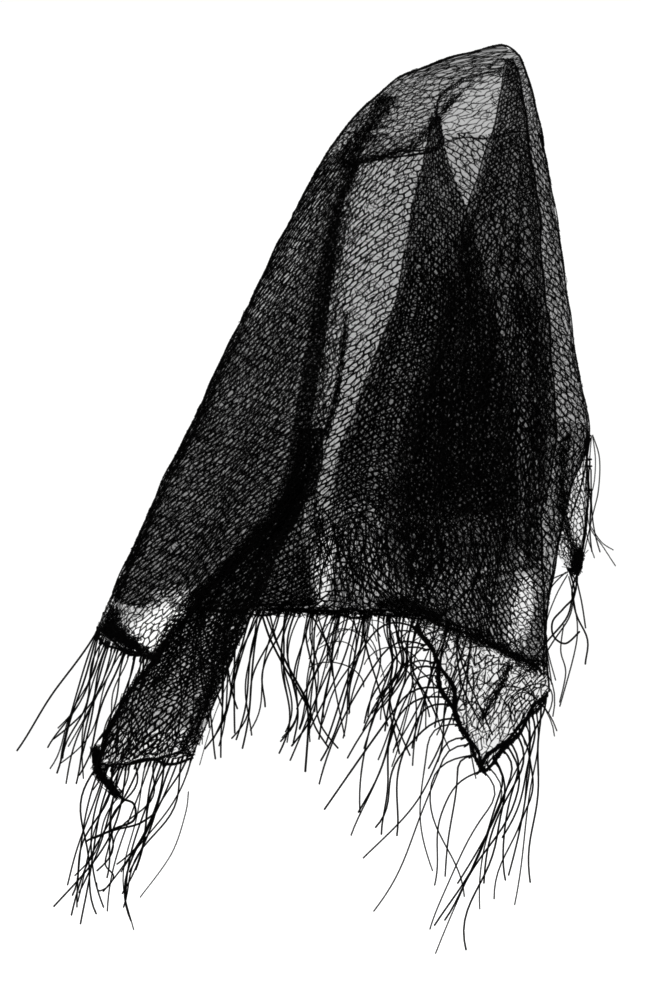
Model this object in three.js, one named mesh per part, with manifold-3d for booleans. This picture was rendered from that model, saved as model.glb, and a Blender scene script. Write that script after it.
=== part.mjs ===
// A knitted lace shawl with a long fringe, as it hangs when it is worn over a head.
// The cloth is hollow and open at the face and the hem. Each stretch of the cloth is a thin wall.
// Units are millimetres. +Z is up, +X is to the right and -Y is the side where the face opening is.
// The origin is at the top of the crown, where the head carries the shawl.
import * as THREE from "three";
import { mergeVertices } from "three/addons/utils/BufferGeometryUtils.js";
import Module from "manifold-3d";

const wasm = await Module();
wasm.setup();

// Driving sizes
const CLOTH = 2; // thickness of the cloth wall
const CROWN_SEAM = 0.7; // how much lower the next stretch starts; the walls are then 0.3 apart
const FRINGE_LENGTH = 150; // a strand from the hem to its end
const STRAND_RADIUS = 0.9;
const STRAND_STEPS = 4; // straight lengths in a strand
const STRAND_DRIFT = 0.025; // how far neighbours part to the front and back, for each unit of fall
const STRIP_HEIGHT = 5; // the knotted strip that carries the strands
const STRIP_GAP = 0.9; // free space between the hem and that strip
const KNOT_PITCH = 7; // from one strand to the next along the hem

const SIDE_SHARPNESS = 0.5; // 0 makes a level section an ellipse, 1 two flat arcs with sharp side folds

// The worn form, as level sections. Drop is the depth under the top of the crown. Left and right are
// where the outline of the section ends in X. Depth is how far it reaches in front and behind.
const FORM = [
  { drop: 0, left: -27, right: 10, depth: 3 },
  { drop: 5, left: -46, right: 15, depth: 16.5 },
  { drop: 15, left: -76, right: 19, depth: 32.2 },
  { drop: 25, left: -103, right: 22, depth: 44.2 },
  { drop: 35, left: -116, right: 25, depth: 52.2 },
  { drop: 45, left: -127, right: 28, depth: 58.1 },
  { drop: 60, left: -143, right: 31, depth: 64.8 },
  { drop: 83, left: -164, right: 36.5, depth: 73 },
  { drop: 128, left: -193, right: 44.5, depth: 84 },
  { drop: 203, left: -231, right: 57, depth: 96 },
  { drop: 303, left: -280, right: 70, depth: 109 },
  { drop: 383, left: -318, right: 84, depth: 119 },
  { drop: 433, left: -343, right: 68, depth: 125 },
  { drop: 513, left: -379, right: 50, depth: 134 },
  { drop: 583, left: -410, right: 41, depth: 141 },
  { drop: 660, left: -440, right: 40, depth: 148 },
];

const CROWN_TOP = new THREE.Vector3(-4, 0, 5);

const CROWN_COLUMNS = 90; // the back panel has half as many, so that their edges match
const CROWN_ROWS = [0.05, 0.17, 0.4, 0.7, 1]; // shares of the way from the top to the crown's edge

// Where the crown ends, by the angle round the form: 0 is the right side, 90 the back, 180 the left
// side and 270 the front. The front part is the gathered edge over the face.
const CROWN_EDGE = [
  { angle: 0, drop: 84 },
  { angle: 140, drop: 84 },
  { angle: 165, drop: 108 },
  { angle: 180, drop: 118 },
  { angle: 216, drop: 118 },
  { angle: 236, drop: 111 },
  { angle: 252, drop: 104 },
  { angle: 260, drop: 90 },
  { angle: 268, drop: 58 },
  { angle: 276, drop: 43 },
  { angle: 300, drop: 26 },
  { angle: 325, drop: 36 },
  { angle: 345, drop: 68 },
  { angle: 360, drop: 84 },
];

// The hem of the back panel, by the angle round the form.
const BACK_HEM = [
  { angle: 0, drop: 622 },
  { angle: 15, drop: 618 },
  { angle: 36, drop: 598 },
  { angle: 48, drop: 586 },
  { angle: 62, drop: 570 },
  { angle: 84, drop: 565 },
  { angle: 140, drop: 559 },
  { angle: 180, drop: 548 },
];

// The pleat on the inner side of the back panel: its left and right edge at each drop.
const PLEAT_DEPTH = 3.6; // from the middle of the panel's wall to the middle of the pleat's
const BACK_PLEAT = [
  { drop: 388, left: -186, right: -181 },
  { drop: 430, left: -207, right: -197 },
  { drop: 480, left: -232, right: -202 },
  { drop: 530, left: -250, right: -192 },
  { drop: 557, left: -258, right: -186 },
];

// Folds that run down the back panel. Angle is where the fold lies, width its half width in degrees
// and swell how far it stands out at the hem (in where it is negative).
const BACK_FOLDS = [
  { angle: 18, width: 7, swell: 9 },
  { angle: 34, width: 9, swell: -12 },
  { angle: 52, width: 8, swell: 15 },
  { angle: 69, width: 9, swell: -16 },
  { angle: 88, width: 8, swell: 17 },
  { angle: 104, width: 7, swell: -13 },
  { angle: 121, width: 9, swell: 16 },
  { angle: 140, width: 8, swell: -12 },
  { angle: 157, width: 7, swell: 9 },
];

// The free edge of the front left stretch: how far right it reaches at each drop.
const FRONT_LEFT_EDGE = [
  { drop: 118, right: -152 },
  { drop: 153, right: -164 },
  { drop: 203, right: -173 },
  { drop: 273, right: -181 },
  { drop: 353, right: -193 },
  { drop: 413, right: -203 },
  { drop: 453, right: -217 },
  { drop: 513, right: -268 },
  { drop: 553, right: -310 },
  { drop: 608, right: -345 },
];
const FRONT_LEFT_HEM_DROP = 578; // of the hem at the left fold; it falls to the last row above
const SIDE_SEAM_ANGLE = 1.8; // where a stretch ends short of a side fold, in degrees
const FRONT_LEFT_COLUMNS = 11; // from the left fold to the pleated edge
const PLEAT_WIDTH = 19; // the free edge is turned under twice by this much
const PLEAT_STEP = 3.6; // from one layer of that pleat to the next

// The stretch that comes round the right fold to the front: how far left it reaches at each drop.
const SIDE_RIGHT_EDGE = [
  { drop: 30, left: 2 },
  { drop: 93, left: 10 },
  { drop: 163, left: 20 },
  { drop: 293, left: 31 },
  { drop: 372, left: 37 },
];

// How the free edge turns under: across is a share of the pleat's width, layer a count of layers in.
const PLEAT = [
  { across: 0.12, layer: 0.5 },
  { across: 0, layer: 1 },
  { across: -0.5, layer: 1.06 },
  { across: -0.9, layer: 1.12 },
  { across: -0.98, layer: 1.6 },
  { across: -0.86, layer: 2.1 },
  { across: -0.45, layer: 2.12 },
  { across: -0.04, layer: 2.1 },
];

// The stretches that hang free. Each row runs from the left edge to the right edge of the stretch.
// Bulge is how far its middle stands to the front, and fold how high its folds are.
const INNER_FOLD = [
  { leftX: -75, leftDrop: 70, leftY: -64.4, rightX: -65, rightDrop: 70, rightY: -64.6, bulge: 0, fold: 0 },
  { leftX: -82, leftDrop: 110, leftY: -58, rightX: -59, rightDrop: 110, rightY: -54, bulge: 2, fold: 1 },
  { leftX: -93, leftDrop: 153, leftY: -48, rightX: -42, rightDrop: 153, rightY: -40, bulge: 5, fold: 4 },
  { leftX: -101, leftDrop: 203, leftY: -36, rightX: -27, rightDrop: 203, rightY: -28, bulge: 8, fold: 7 },
  { leftX: -111, leftDrop: 253, leftY: -26, rightX: -13, rightDrop: 253, rightY: -20, bulge: 9, fold: 9 },
  { leftX: -130, leftDrop: 303, leftY: -22, rightX: -2, rightDrop: 303, rightY: -16, bulge: 9, fold: 11 },
  { leftX: -148, leftDrop: 353, leftY: -20, rightX: 7, rightDrop: 353, rightY: -14, bulge: 9, fold: 12 },
  { leftX: -166, leftDrop: 400, leftY: -20, rightX: 11, rightDrop: 420, rightY: -14, bulge: 9, fold: 13 },
  { leftX: -172, leftDrop: 446, leftY: -20, rightX: 13, rightDrop: 466, rightY: -14, bulge: 9, fold: 14 },
  { leftX: -176, leftDrop: 486, leftY: -20, rightX: 13, rightDrop: 500, rightY: -14, bulge: 9, fold: 14 },
];
const INNER_FOLD_COUNT = 4.5;

const FRONT_RIGHT = [
  { leftX: 2, leftDrop: 10, leftY: -20.9, rightX: 8, rightDrop: 10, rightY: -17.4, bulge: 0, fold: 0 },
  { leftX: -3, leftDrop: 30, leftY: -46, rightX: 13, rightDrop: 30, rightY: -34, bulge: 1, fold: 0.5 },
  { leftX: -8, leftDrop: 58, leftY: -64, rightX: 18, rightDrop: 58, rightY: -42, bulge: 2, fold: 2 },
  { leftX: -17, leftDrop: 93, leftY: -80, rightX: 23, rightDrop: 93, rightY: -48, bulge: 4, fold: 5 },
  { leftX: -28, leftDrop: 128, leftY: -90, rightX: 28, rightDrop: 128, rightY: -50, bulge: 6, fold: 8 },
  { leftX: -40, leftDrop: 163, leftY: -96, rightX: 32, rightDrop: 163, rightY: -52, bulge: 8, fold: 9 },
  { leftX: -58, leftDrop: 223, leftY: -102, rightX: 37, rightDrop: 223, rightY: -54, bulge: 10, fold: 10 },
  { leftX: -80, leftDrop: 303, leftY: -110, rightX: 43, rightDrop: 293, rightY: -56, bulge: 12, fold: 12 },
  { leftX: -103, leftDrop: 373, leftY: -116, rightX: 49, rightDrop: 353, rightY: -58, bulge: 13, fold: 13 },
  { leftX: -116, leftDrop: 433, leftY: -120, rightX: 46, rightDrop: 413, rightY: -60, bulge: 14, fold: 14 },
  { leftX: -122, leftDrop: 483, leftY: -120, rightX: 36, rightDrop: 463, rightY: -60, bulge: 14, fold: 14 },
  { leftX: -110, leftDrop: 533, leftY: -118, rightX: 35, rightDrop: 508, rightY: -60, bulge: 14, fold: 12 },
  { leftX: -90, leftDrop: 573, leftY: -114, rightX: 37, rightDrop: 543, rightY: -60, bulge: 12, fold: 9 },
  { leftX: -74, leftDrop: 603, leftY: -108, rightX: 39, rightDrop: 573, rightY: -60, bulge: 10, fold: 7 },
  { leftX: -55, leftDrop: 648, leftY: -100, rightX: 40, rightDrop: 603, rightY: -60, bulge: 8, fold: 5 },
  { leftX: -39, leftDrop: 686, leftY: -92, rightX: 41, rightDrop: 626, rightY: -60, bulge: 6, fold: 3 },
  { leftX: -25, leftDrop: 718, leftY: -86, rightX: 41, rightDrop: 643, rightY: -60, bulge: 4, fold: 2 },
];
const FRONT_RIGHT_FOLD_COUNT = 5;
const FRONT_RIGHT_FRINGE_FROM = 12; // the row where the fringe of its left edge starts

// In is how far the edge lies inside the worn form here.
const TAIL_LEFT = [
  { leftX: -205, leftDrop: 380, leftIn: 11.6, rightX: -182, rightDrop: 380, rightIn: 11, bulge: 0, fold: 0 },
  { leftX: -212, leftDrop: 420, leftIn: 13.6, rightX: -184, rightDrop: 420, rightIn: 12, bulge: 0, fold: -2 },
  { leftX: -232, leftDrop: 463, leftIn: 15.6, rightX: -205, rightDrop: 463, rightIn: 12, bulge: 1, fold: -4 },
  { leftX: -277, leftDrop: 513, leftIn: 17.6, rightX: -231, rightDrop: 513, rightIn: 12, bulge: 2, fold: -6 },
  { leftX: -314, leftDrop: 563, leftIn: 18.6, rightX: -253, rightDrop: 563, rightIn: 12, bulge: 3, fold: -8 },
  { leftX: -350, leftDrop: 608, leftIn: 19.6, rightX: -272, rightDrop: 608, rightIn: 14, bulge: 5, fold: -10 },
  { leftX: -383, leftDrop: 656, leftIn: 12.6, rightX: -291, rightDrop: 653, rightIn: 16, bulge: 8, fold: -11 },
  { leftX: -409, leftDrop: 716, leftIn: 4.6, rightX: -310, rightDrop: 703, rightIn: 18, bulge: 10, fold: -10 },
];
const TAIL_LEFT_FOLD_COUNT = 2.5;

const TAIL_RIGHT = [
  { leftX: 38, leftDrop: 373, leftY: -58, rightX: 82.6, rightDrop: 373, rightY: -1.5, bulge: 8, fold: 0 },
  { leftX: 33, leftDrop: 402, leftY: -48, rightX: 82, rightDrop: 396, rightY: -8, bulge: 8, fold: 3 },
  { leftX: 33, leftDrop: 432, leftY: -42, rightX: 82, rightDrop: 426, rightY: -13, bulge: 7, fold: 5 },
  { leftX: 37, leftDrop: 462, leftY: -36, rightX: 82, rightDrop: 456, rightY: -15, bulge: 6, fold: 5 },
  { leftX: 46, leftDrop: 496, leftY: -30, rightX: 79, rightDrop: 488, rightY: -17, bulge: 4, fold: 4 },
  { leftX: 63, leftDrop: 521, leftY: -25, rightX: 75, rightDrop: 518, rightY: -18, bulge: 2, fold: 1 },
];
const TAIL_RIGHT_FOLD_COUNT = 2.5;

// Reads a table at any value of its first named column, on a smooth curve through its rows.
function readTable(rows, key, value) {
  const last = rows.length - 1;
  let i = 0;
  while (i < last - 1 && value > rows[i + 1][key]) i++;
  const a = rows[Math.max(i - 1, 0)];
  const b = rows[i];
  const c = rows[i + 1];
  const d = rows[Math.min(i + 2, last)];
  const span = c[key] - b[key];
  const t = THREE.MathUtils.clamp((value - b[key]) / span, 0, 1);
  const read = {};
  for (const column of Object.keys(b)) {
    const slopeB = c === a ? 0 : ((c[column] - a[column]) / (c[key] - a[key])) * span;
    const slopeC = d === b ? 0 : ((d[column] - b[column]) / (d[key] - b[key])) * span;
    read[column] =
      b[column] * (2 * t ** 3 - 3 * t ** 2 + 1) +
      slopeB * (t ** 3 - 2 * t ** 2 + t) +
      c[column] * (3 * t ** 2 - 2 * t ** 3) +
      slopeC * (t ** 3 - t ** 2);
  }
  return read;
}

// The rows of a free stretch, numbered so that the table can be read between them.
function readRows(rows, place) {
  const numbered = rows.map((row, index) => ({ index, ...row }));
  return readTable(numbered, "index", place * (rows.length - 1));
}

// A point of the worn form. Swell moves it out from the form.
function formPoint(angle, drop, swell = 0) {
  const section = readTable(FORM, "drop", drop);
  const turn = THREE.MathUtils.degToRad(angle);
  const halfWidth = (section.right - section.left) / 2;
  const middle = (section.right + section.left) / 2;
  const lens = Math.sin(turn) * Math.abs(Math.sin(turn)) ** SIDE_SHARPNESS;
  return new THREE.Vector3(
    middle + (halfWidth + swell * Math.abs(Math.cos(turn))) * Math.cos(turn),
    (section.depth + swell) * lens,
    -drop,
  );
}

// The angle at which the front of the worn form has this X.
function frontAngle(x, drop) {
  const section = readTable(FORM, "drop", drop);
  const share = (2 * x - section.right - section.left) / (section.right - section.left);
  return 180 + THREE.MathUtils.radToDeg(Math.acos(-THREE.MathUtils.clamp(share, -1, 1)));
}

function smooth(value) {
  const t = THREE.MathUtils.clamp(value, 0, 1);
  return t * t * (3 - 2 * t);
}

// How far the folds of the back panel stand out at this angle and drop.
function backSwell(angle, drop) {
  const grown = smooth((drop - 90) / 420);
  return BACK_FOLDS.reduce(
    (sum, fold) => sum + grown * fold.swell * Math.exp(-(((angle - fold.angle) / fold.width) ** 2)),
    0,
  );
}

// A closed solid from an indexed set of points and triangles, turned so that its faces point out.
function solidGeometry(points, triangles) {
  const position = new Float32Array(points.length * 3);
  points.forEach((point, i) => point.toArray(position, i * 3));
  const volume = triangles.reduce(
    (sum, [a, b, c]) => sum + points[a].dot(new THREE.Vector3().crossVectors(points[b], points[c])),
    0,
  );
  const index = triangles.flatMap(([a, b, c]) => (volume < 0 ? [a, c, b] : [a, b, c]));
  const geometry = new THREE.BufferGeometry();
  geometry.setAttribute("position", new THREE.BufferAttribute(position, 3));
  geometry.setIndex(index);
  return geometry;
}

// The directions square to a grid of points, row by row.
function gridNormals(grid, ring) {
  const columns = grid[0].length;
  return grid.map((row, i) =>
    row.map((_, j) => {
      const left = ring ? (j + columns - 1) % columns : Math.max(j - 1, 0);
      const right = ring ? (j + 1) % columns : Math.min(j + 1, columns - 1);
      const along = row[right].clone().sub(row[left]);
      const down = grid[Math.min(i + 1, grid.length - 1)][j].clone().sub(grid[Math.max(i - 1, 0)][j]);
      return along.cross(down).normalize();
    }),
  );
}

// A cloth wall on a grid of points. A ring closes on itself, and a pole closes the top of a ring.
function wallGeometry(grid, { ring = false, pole = null } = {}) {
  const normals = gridNormals(grid, ring);
  const rows = grid.length;
  const columns = grid[0].length;
  const side = (sign) =>
    grid.flatMap((row, i) => row.map((p, j) => p.clone().addScaledVector(normals[i][j], (sign * CLOTH) / 2)));
  const points = [...side(1), ...side(-1)];
  const inner = rows * columns;
  const triangles = [];
  const quad = (a, b, c, d) => triangles.push([a, b, c], [a, c, d]);
  const spans = ring ? columns : columns - 1;
  for (let j = 0; j < spans; j++) {
    const next = (j + 1) % columns;
    for (let i = 0; i < rows - 1; i++) {
      const a = i * columns + j;
      const b = i * columns + next;
      quad(a, b, b + columns, a + columns);
      quad(inner + a, inner + a + columns, inner + b + columns, inner + b);
    }
    const low = (rows - 1) * columns;
    quad(low + j, low + next, inner + low + next, inner + low + j);
    if (!pole) quad(j, inner + j, inner + next, next);
  }
  if (!ring) {
    for (let i = 0; i < rows - 1; i++) {
      const a = i * columns;
      const b = a + columns - 1;
      quad(a, a + columns, inner + a + columns, inner + a);
      quad(b, inner + b, inner + b + columns, b + columns);
    }
  }
  if (pole) {
    const up = new THREE.Vector3(0, 0, CLOTH / 2);
    const top = points.push(pole.clone().add(up)) - 1;
    const under = points.push(pole.clone().sub(up)) - 1;
    const outward = normals[0][0].x > 0;
    for (let j = 0; j < columns; j++) {
      const next = (j + 1) % columns;
      triangles.push([outward ? top : under, next, j]);
      triangles.push([outward ? under : top, inner + j, inner + next]);
    }
  }
  return solidGeometry(points, triangles);
}

function steps(count) {
  return Array.from({ length: count + 1 }, (_, i) => i / count);
}

function crownGrid() {
  return CROWN_ROWS.map((fraction) =>
    steps(CROWN_COLUMNS)
      .slice(0, -1)
      .map((turn) => {
        const angle = turn * 360;
        const edge = readTable(CROWN_EDGE, "angle", angle).drop;
        return formPoint(angle, edge * fraction);
      }),
  );
}

function backGrid() {
  return steps(12).map((down) =>
    steps(CROWN_COLUMNS / 2).map((across) => {
      const angle = THREE.MathUtils.lerp(SIDE_SEAM_ANGLE, 180 - SIDE_SEAM_ANGLE, across);
      const top = readTable(CROWN_EDGE, "angle", angle).drop + CROWN_SEAM;
      const low = readTable(BACK_HEM, "angle", angle).drop;
      const drop = THREE.MathUtils.lerp(top, low, down);
      return formPoint(angle, drop, backSwell(angle, drop));
    }),
  );
}

// The front left stretch: from the left fold round to its free edge, which is turned under twice.
function frontLeftGrid() {
  const first = FRONT_LEFT_EDGE[0];
  const last = FRONT_LEFT_EDGE[FRONT_LEFT_EDGE.length - 1];
  const topSweep = frontAngle(first.right, first.drop) - 180;
  return steps(14).map((down) => {
    const edgeTop = readTable(CROWN_EDGE, "angle", 180 + topSweep).drop + CROWN_SEAM;
    const edgeDrop = THREE.MathUtils.lerp(edgeTop, last.drop, down);
    const edge = readTable(FRONT_LEFT_EDGE, "drop", edgeDrop).right;
    const sweep = frontAngle(edge, edgeDrop) - 180;
    const flat = steps(FRONT_LEFT_COLUMNS).map((across) => {
      const top = readTable(CROWN_EDGE, "angle", 180 + across * topSweep).drop + CROWN_SEAM;
      const low = THREE.MathUtils.lerp(FRONT_LEFT_HEM_DROP, last.drop, across);
      const angle = 180 + SIDE_SEAM_ANGLE + across * (sweep - SIDE_SEAM_ANGLE);
      return formPoint(angle, THREE.MathUtils.lerp(top, low, down));
    });
    const end = flat[flat.length - 1];
    const along = end.clone().sub(flat[flat.length - 2]).setZ(0).normalize();
    const inward = new THREE.Vector3(-along.y, along.x, 0);
    const width = PLEAT_WIDTH * smooth(0.35 + down * 2) * (down > 0.9 ? 1 - (down - 0.9) * 4 : 1);
    const turned = PLEAT.map(({ across, layer }) =>
      end
        .clone()
        .addScaledVector(along, across * width)
        .addScaledVector(inward, layer * PLEAT_STEP),
    );
    return [...flat, ...turned];
  });
}

// How far to the front the worn form reaches at this X and drop.
function frontY(x, drop) {
  return formPoint(frontAngle(x, drop), drop).y;
}

// The right side stretch, from its free edge at the front round to the right fold.
function sideRightGrid() {
  const last = SIDE_RIGHT_EDGE[SIDE_RIGHT_EDGE.length - 1];
  const topSweep = 360 - frontAngle(SIDE_RIGHT_EDGE[0].left, SIDE_RIGHT_EDGE[0].drop);
  return steps(9).map((down) => {
    const edgeDrop = THREE.MathUtils.lerp(SIDE_RIGHT_EDGE[0].drop + CROWN_SEAM, last.drop, down);
    const edge = readTable(SIDE_RIGHT_EDGE, "drop", edgeDrop).left;
    const sweep = 360 - frontAngle(edge, edgeDrop);
    return steps(7).map((across) => {
      const top = readTable(CROWN_EDGE, "angle", 360 - (1 - across) * topSweep).drop + CROWN_SEAM;
      const low = last.drop;
      const angle = 360 - SIDE_SEAM_ANGLE - (1 - across) * (sweep - SIDE_SEAM_ANGLE);
      return formPoint(angle, THREE.MathUtils.lerp(top, low, down));
    });
  });
}

// A pleat of the back panel that lies on its inner side.
function backPleatGrid() {
  return steps(9).map((down) => {
    const row = readRows(BACK_PLEAT, down);
    return steps(7).map((across) => {
      const x = THREE.MathUtils.lerp(row.left, row.right, across);
      const angle = 360 - frontAngle(x, row.drop);
      const inside = -PLEAT_DEPTH - 1.5 * Math.sin(across * Math.PI * 3) ** 2;
      return formPoint(angle, row.drop, backSwell(angle, row.drop) + inside);
    });
  });
}

// A stretch that hangs free, from its table of rows.
function freeGrid(rows, { folds, down, across }) {
  return steps(down).map((place) => {
    const row = readRows(rows, place);
    row.leftY ??= frontY(row.leftX, row.leftDrop) + row.leftIn;
    row.rightY ??= frontY(row.rightX, row.rightDrop) + row.rightIn;
    return steps(across).map((share) => {
      const wave = 0.5 - 0.5 * Math.cos(share * folds * 2 * Math.PI + 0.6 * Math.sin(3 * share));
      const rise = 4 * share * (1 - share);
      return new THREE.Vector3(
        THREE.MathUtils.lerp(row.leftX, row.rightX, share),
        THREE.MathUtils.lerp(row.leftY, row.rightY, share) - row.bulge * rise - row.fold * wave,
        -THREE.MathUtils.lerp(row.leftDrop, row.rightDrop, share),
      );
    });
  });
}

// A repeatable spread of numbers from 0 to 1.
function scatter(seed) {
  const value = Math.sin(seed * 127.1 + 11.7) * 43758.5453;
  return value - Math.floor(value);
}

// The middle line of one strand: it leaves the hem outward and then falls, a little to the left.
function strandPath(root, outward, { length, lean, drift, turn }) {
  const fall = new THREE.Vector3(lean, drift, -1).normalize();
  const path = [root.clone()];
  const at = root.clone();
  for (let i = 0; i < STRAND_STEPS; i++) {
    const turned = smooth((i + 0.5) / STRAND_STEPS / turn);
    const way = outward.clone().lerp(fall, turned).normalize();
    at.addScaledVector(way, length / STRAND_STEPS);
    path.push(at.clone());
  }
  return path;
}

// A strand is a tube with three sides.
function strandGeometry(path, radius) {
  const sides = 3;
  const points = [];
  path.forEach((p, i) => {
    const way = path[Math.min(i + 1, path.length - 1)].clone().sub(path[Math.max(i - 1, 0)]).normalize();
    const across = new THREE.Vector3(0, 1, 0).cross(way).normalize();
    const third = way.clone().cross(across);
    for (let k = 0; k < sides; k++) {
      const turn = (k / sides) * 2 * Math.PI;
      points.push(
        p
          .clone()
          .addScaledVector(across, radius * Math.cos(turn))
          .addScaledVector(third, radius * Math.sin(turn)),
      );
    }
  });
  const triangles = [];
  for (let i = 0; i < path.length - 1; i++) {
    for (let k = 0; k < sides; k++) {
      const a = i * sides + k;
      const b = i * sides + ((k + 1) % sides);
      triangles.push([a, b, b + sides], [a, b + sides, a + sides]);
    }
  }
  const end = (path.length - 1) * sides;
  triangles.push([0, 2, 1], [end, end + 1, end + 2]);
  return solidGeometry(points, triangles);
}

function toManifold(geometry) {
  const bare = geometry.clone();
  bare.deleteAttribute("normal");
  bare.deleteAttribute("uv");
  const merged = mergeVertices(bare, 1e-4);
  return new wasm.Manifold(
    new wasm.Mesh({
      numProp: 3,
      vertProperties: merged.attributes.position.array,
      triVerts: new Uint32Array(merged.index.array),
    }),
  );
}

function fromManifold(solid) {
  const mesh = solid.getMesh();
  const geometry = new THREE.BufferGeometry();
  geometry.setAttribute("position", new THREE.BufferAttribute(mesh.vertProperties, 3));
  geometry.setIndex(new THREE.BufferAttribute(mesh.triVerts, 1));
  return geometry;
}

// Points at an even pitch along a line of points, each with the outward way at that place.
function alongHem(line, outwards, pitch, from = 0, to = 1) {
  const lengths = [0];
  for (let i = 1; i < line.length; i++) lengths.push(lengths[i - 1] + line[i].distanceTo(line[i - 1]));
  const whole = lengths[lengths.length - 1];
  const count = Math.max(2, Math.round((whole * (to - from)) / pitch));
  return steps(count).map((share) => {
    const goal = whole * (from + share * (to - from));
    let i = 1;
    while (i < line.length - 1 && lengths[i] < goal) i++;
    const t = (goal - lengths[i - 1]) / (lengths[i] - lengths[i - 1]);
    return {
      point: line[i - 1].clone().lerp(line[i], t),
      outward: outwards[i - 1].clone().lerp(outwards[i], t).normalize(),
    };
  });
}

// A knotted strip along a hem with its strands. The strip lies a seam's width off the cloth's edge.
function fringeGeometry(line, outwards, options) {
  const { seed, lean, from = 0.02, to = 0.98, length = FRINGE_LENGTH, pitch = KNOT_PITCH } = options;
  const { leanSpread = 0.1, turn = 0.45 } = options;
  const band = alongHem(line, outwards, pitch, from, to);
  const strip = [STRIP_GAP, STRIP_GAP + STRIP_HEIGHT].map((off) =>
    band.map(({ point, outward }) => point.clone().addScaledVector(outward, off)),
  );
  const parts = [toManifold(wallGeometry(strip))];
  const roots = band.slice(1, -1);
  roots.forEach(({ point, outward }, i) => {
    const root = point.clone().addScaledVector(outward, STRIP_GAP + STRIP_HEIGHT / 2);
    const share = i / (roots.length - 1);
    const wander = Math.sin(i * 0.9 + seed) * 0.6 + (scatter(seed + i) - 0.5) * 0.8;
    const path = strandPath(root, outward, {
      length: length * (0.86 + 0.28 * scatter(seed * 3 + i)),
      lean: THREE.MathUtils.lerp(lean[0], lean[1], share) + wander * leanSpread,
      drift: (((i * 2) % 5) - 2) * STRAND_DRIFT,
      turn,
    });
    parts.push(toManifold(strandGeometry(path, STRAND_RADIUS)));
  });
  return fromManifold(wasm.Manifold.union(parts));
}

// The line and outward ways of a grid's lower edge.
function lowerEdge(grid) {
  const last = grid[grid.length - 1];
  const before = grid[grid.length - 2];
  return [last, last.map((p, j) => p.clone().sub(before[j]).normalize())];
}

// The line and outward ways of a grid's left or right edge, between two shares of its height.
function sideEdge(grid, right, from, to) {
  const rows = grid.slice(Math.round(from * (grid.length - 1)), Math.round(to * (grid.length - 1)) + 1);
  const line = rows.map((row) => (right ? row[row.length - 1] : row[0]));
  const next = rows.map((row) => (right ? row[row.length - 2] : row[1]));
  return [line, line.map((p, i) => p.clone().sub(next[i]).normalize())];
}

const BLACK_YARN = new THREE.MeshStandardMaterial({ color: 0x0c0b0c, roughness: 0.85, metalness: 0 });
const BLACK_FRINGE = new THREE.MeshStandardMaterial({ color: 0x09080a, roughness: 0.7, metalness: 0 });

function piece(name, geometry, material) {
  const mesh = new THREE.Mesh(geometry, material);
  mesh.name = name;
  return mesh;
}

const back = backGrid();
const frontLeft = frontLeftGrid();
const inner = freeGrid(INNER_FOLD, { folds: INNER_FOLD_COUNT, down: 10, across: 28 });
const frontRight = freeGrid(FRONT_RIGHT, { folds: FRONT_RIGHT_FOLD_COUNT, down: 16, across: 30 });
const tailLeft = freeGrid(TAIL_LEFT, { folds: TAIL_LEFT_FOLD_COUNT, down: 10, across: 17 });
const tailRight = freeGrid(TAIL_RIGHT, { folds: TAIL_RIGHT_FOLD_COUNT, down: 7, across: 16 });
const frontLeftHem = frontLeft.map((row) => row.slice(0, FRONT_LEFT_COLUMNS + 1));
const cornerStart = FRONT_RIGHT_FRINGE_FROM / (FRONT_RIGHT.length - 1);

const WALLS = [
  ["crown", wallGeometry(crownGrid(), { ring: true, pole: CROWN_TOP })],
  ["back_panel", wallGeometry(back)],
  ["back_pleat", wallGeometry(backPleatGrid())],
  ["side_right", wallGeometry(sideRightGrid())],
  ["front_left", wallGeometry(frontLeft)],
  ["inner_fold", wallGeometry(inner)],
  ["front_right", wallGeometry(frontRight)],
  ["tail_left", wallGeometry(tailLeft)],
  ["tail_right", wallGeometry(tailRight)],
];

// Each fringe has the hem it hangs from and its own look. Lean is how far a strand leans to the right
// for each unit of fall, at the hem's start and end. From and to are shares of the hem's length. Turn
// is the share of a strand in which it turns from the hem's outward way to the fall.
const FRINGES = [
  { name: "fringe_back", hem: lowerEdge(back), lean: [0.02, -0.22], pitch: 15, from: 0.04, to: 0.96 },
  { name: "fringe_front_left", hem: lowerEdge(frontLeftHem), lean: [-0.42, -0.3], length: 132 },
  { name: "fringe_inner", hem: lowerEdge(inner), lean: [-0.05, -0.05], pitch: 10, leanSpread: 0.06 },
  {
    name: "fringe_corner_left",
    hem: sideEdge(frontRight, false, cornerStart, 1),
    lean: [-0.5, -0.42],
    length: 165,
    to: 0.95,
  },
  {
    name: "fringe_corner_right",
    hem: lowerEdge(frontRight),
    lean: [-0.5, -0.25],
    length: 172,
    from: 0.04,
  },
  { name: "fringe_tail_left", hem: lowerEdge(tailLeft), lean: [-0.06, -0.28], pitch: 6 },
  { name: "fringe_tail_right", hem: lowerEdge(tailRight), lean: [-0.05, 0], length: 120, pitch: 4 },
  {
    name: "fringe_right_edge",
    hem: sideEdge(tailRight, true, 0, 0.45),
    lean: [0.1, 0.24],
    length: 118,
    from: 0.2,
    turn: 0.12,
    leanSpread: 0.05,
  },
];

const shawl = new THREE.Group();
WALLS.forEach(([name, geometry]) => shawl.add(piece(name, geometry, BLACK_YARN)));
FRINGES.forEach((fringe, index) =>
  shawl.add(piece(fringe.name, fringeGeometry(...fringe.hem, { seed: index + 1, ...fringe }), BLACK_FRINGE)),
);

export default shawl;
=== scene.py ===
# A knitted lace shawl with a long knotted fringe, hanging in the hollow form that it takes over a head.
# Lengths in the tables are millimetres: x is to the right, drop is the depth under the top of the crown,
# and -y is the side of the open face. Pieces are made in metres.
import math

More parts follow.
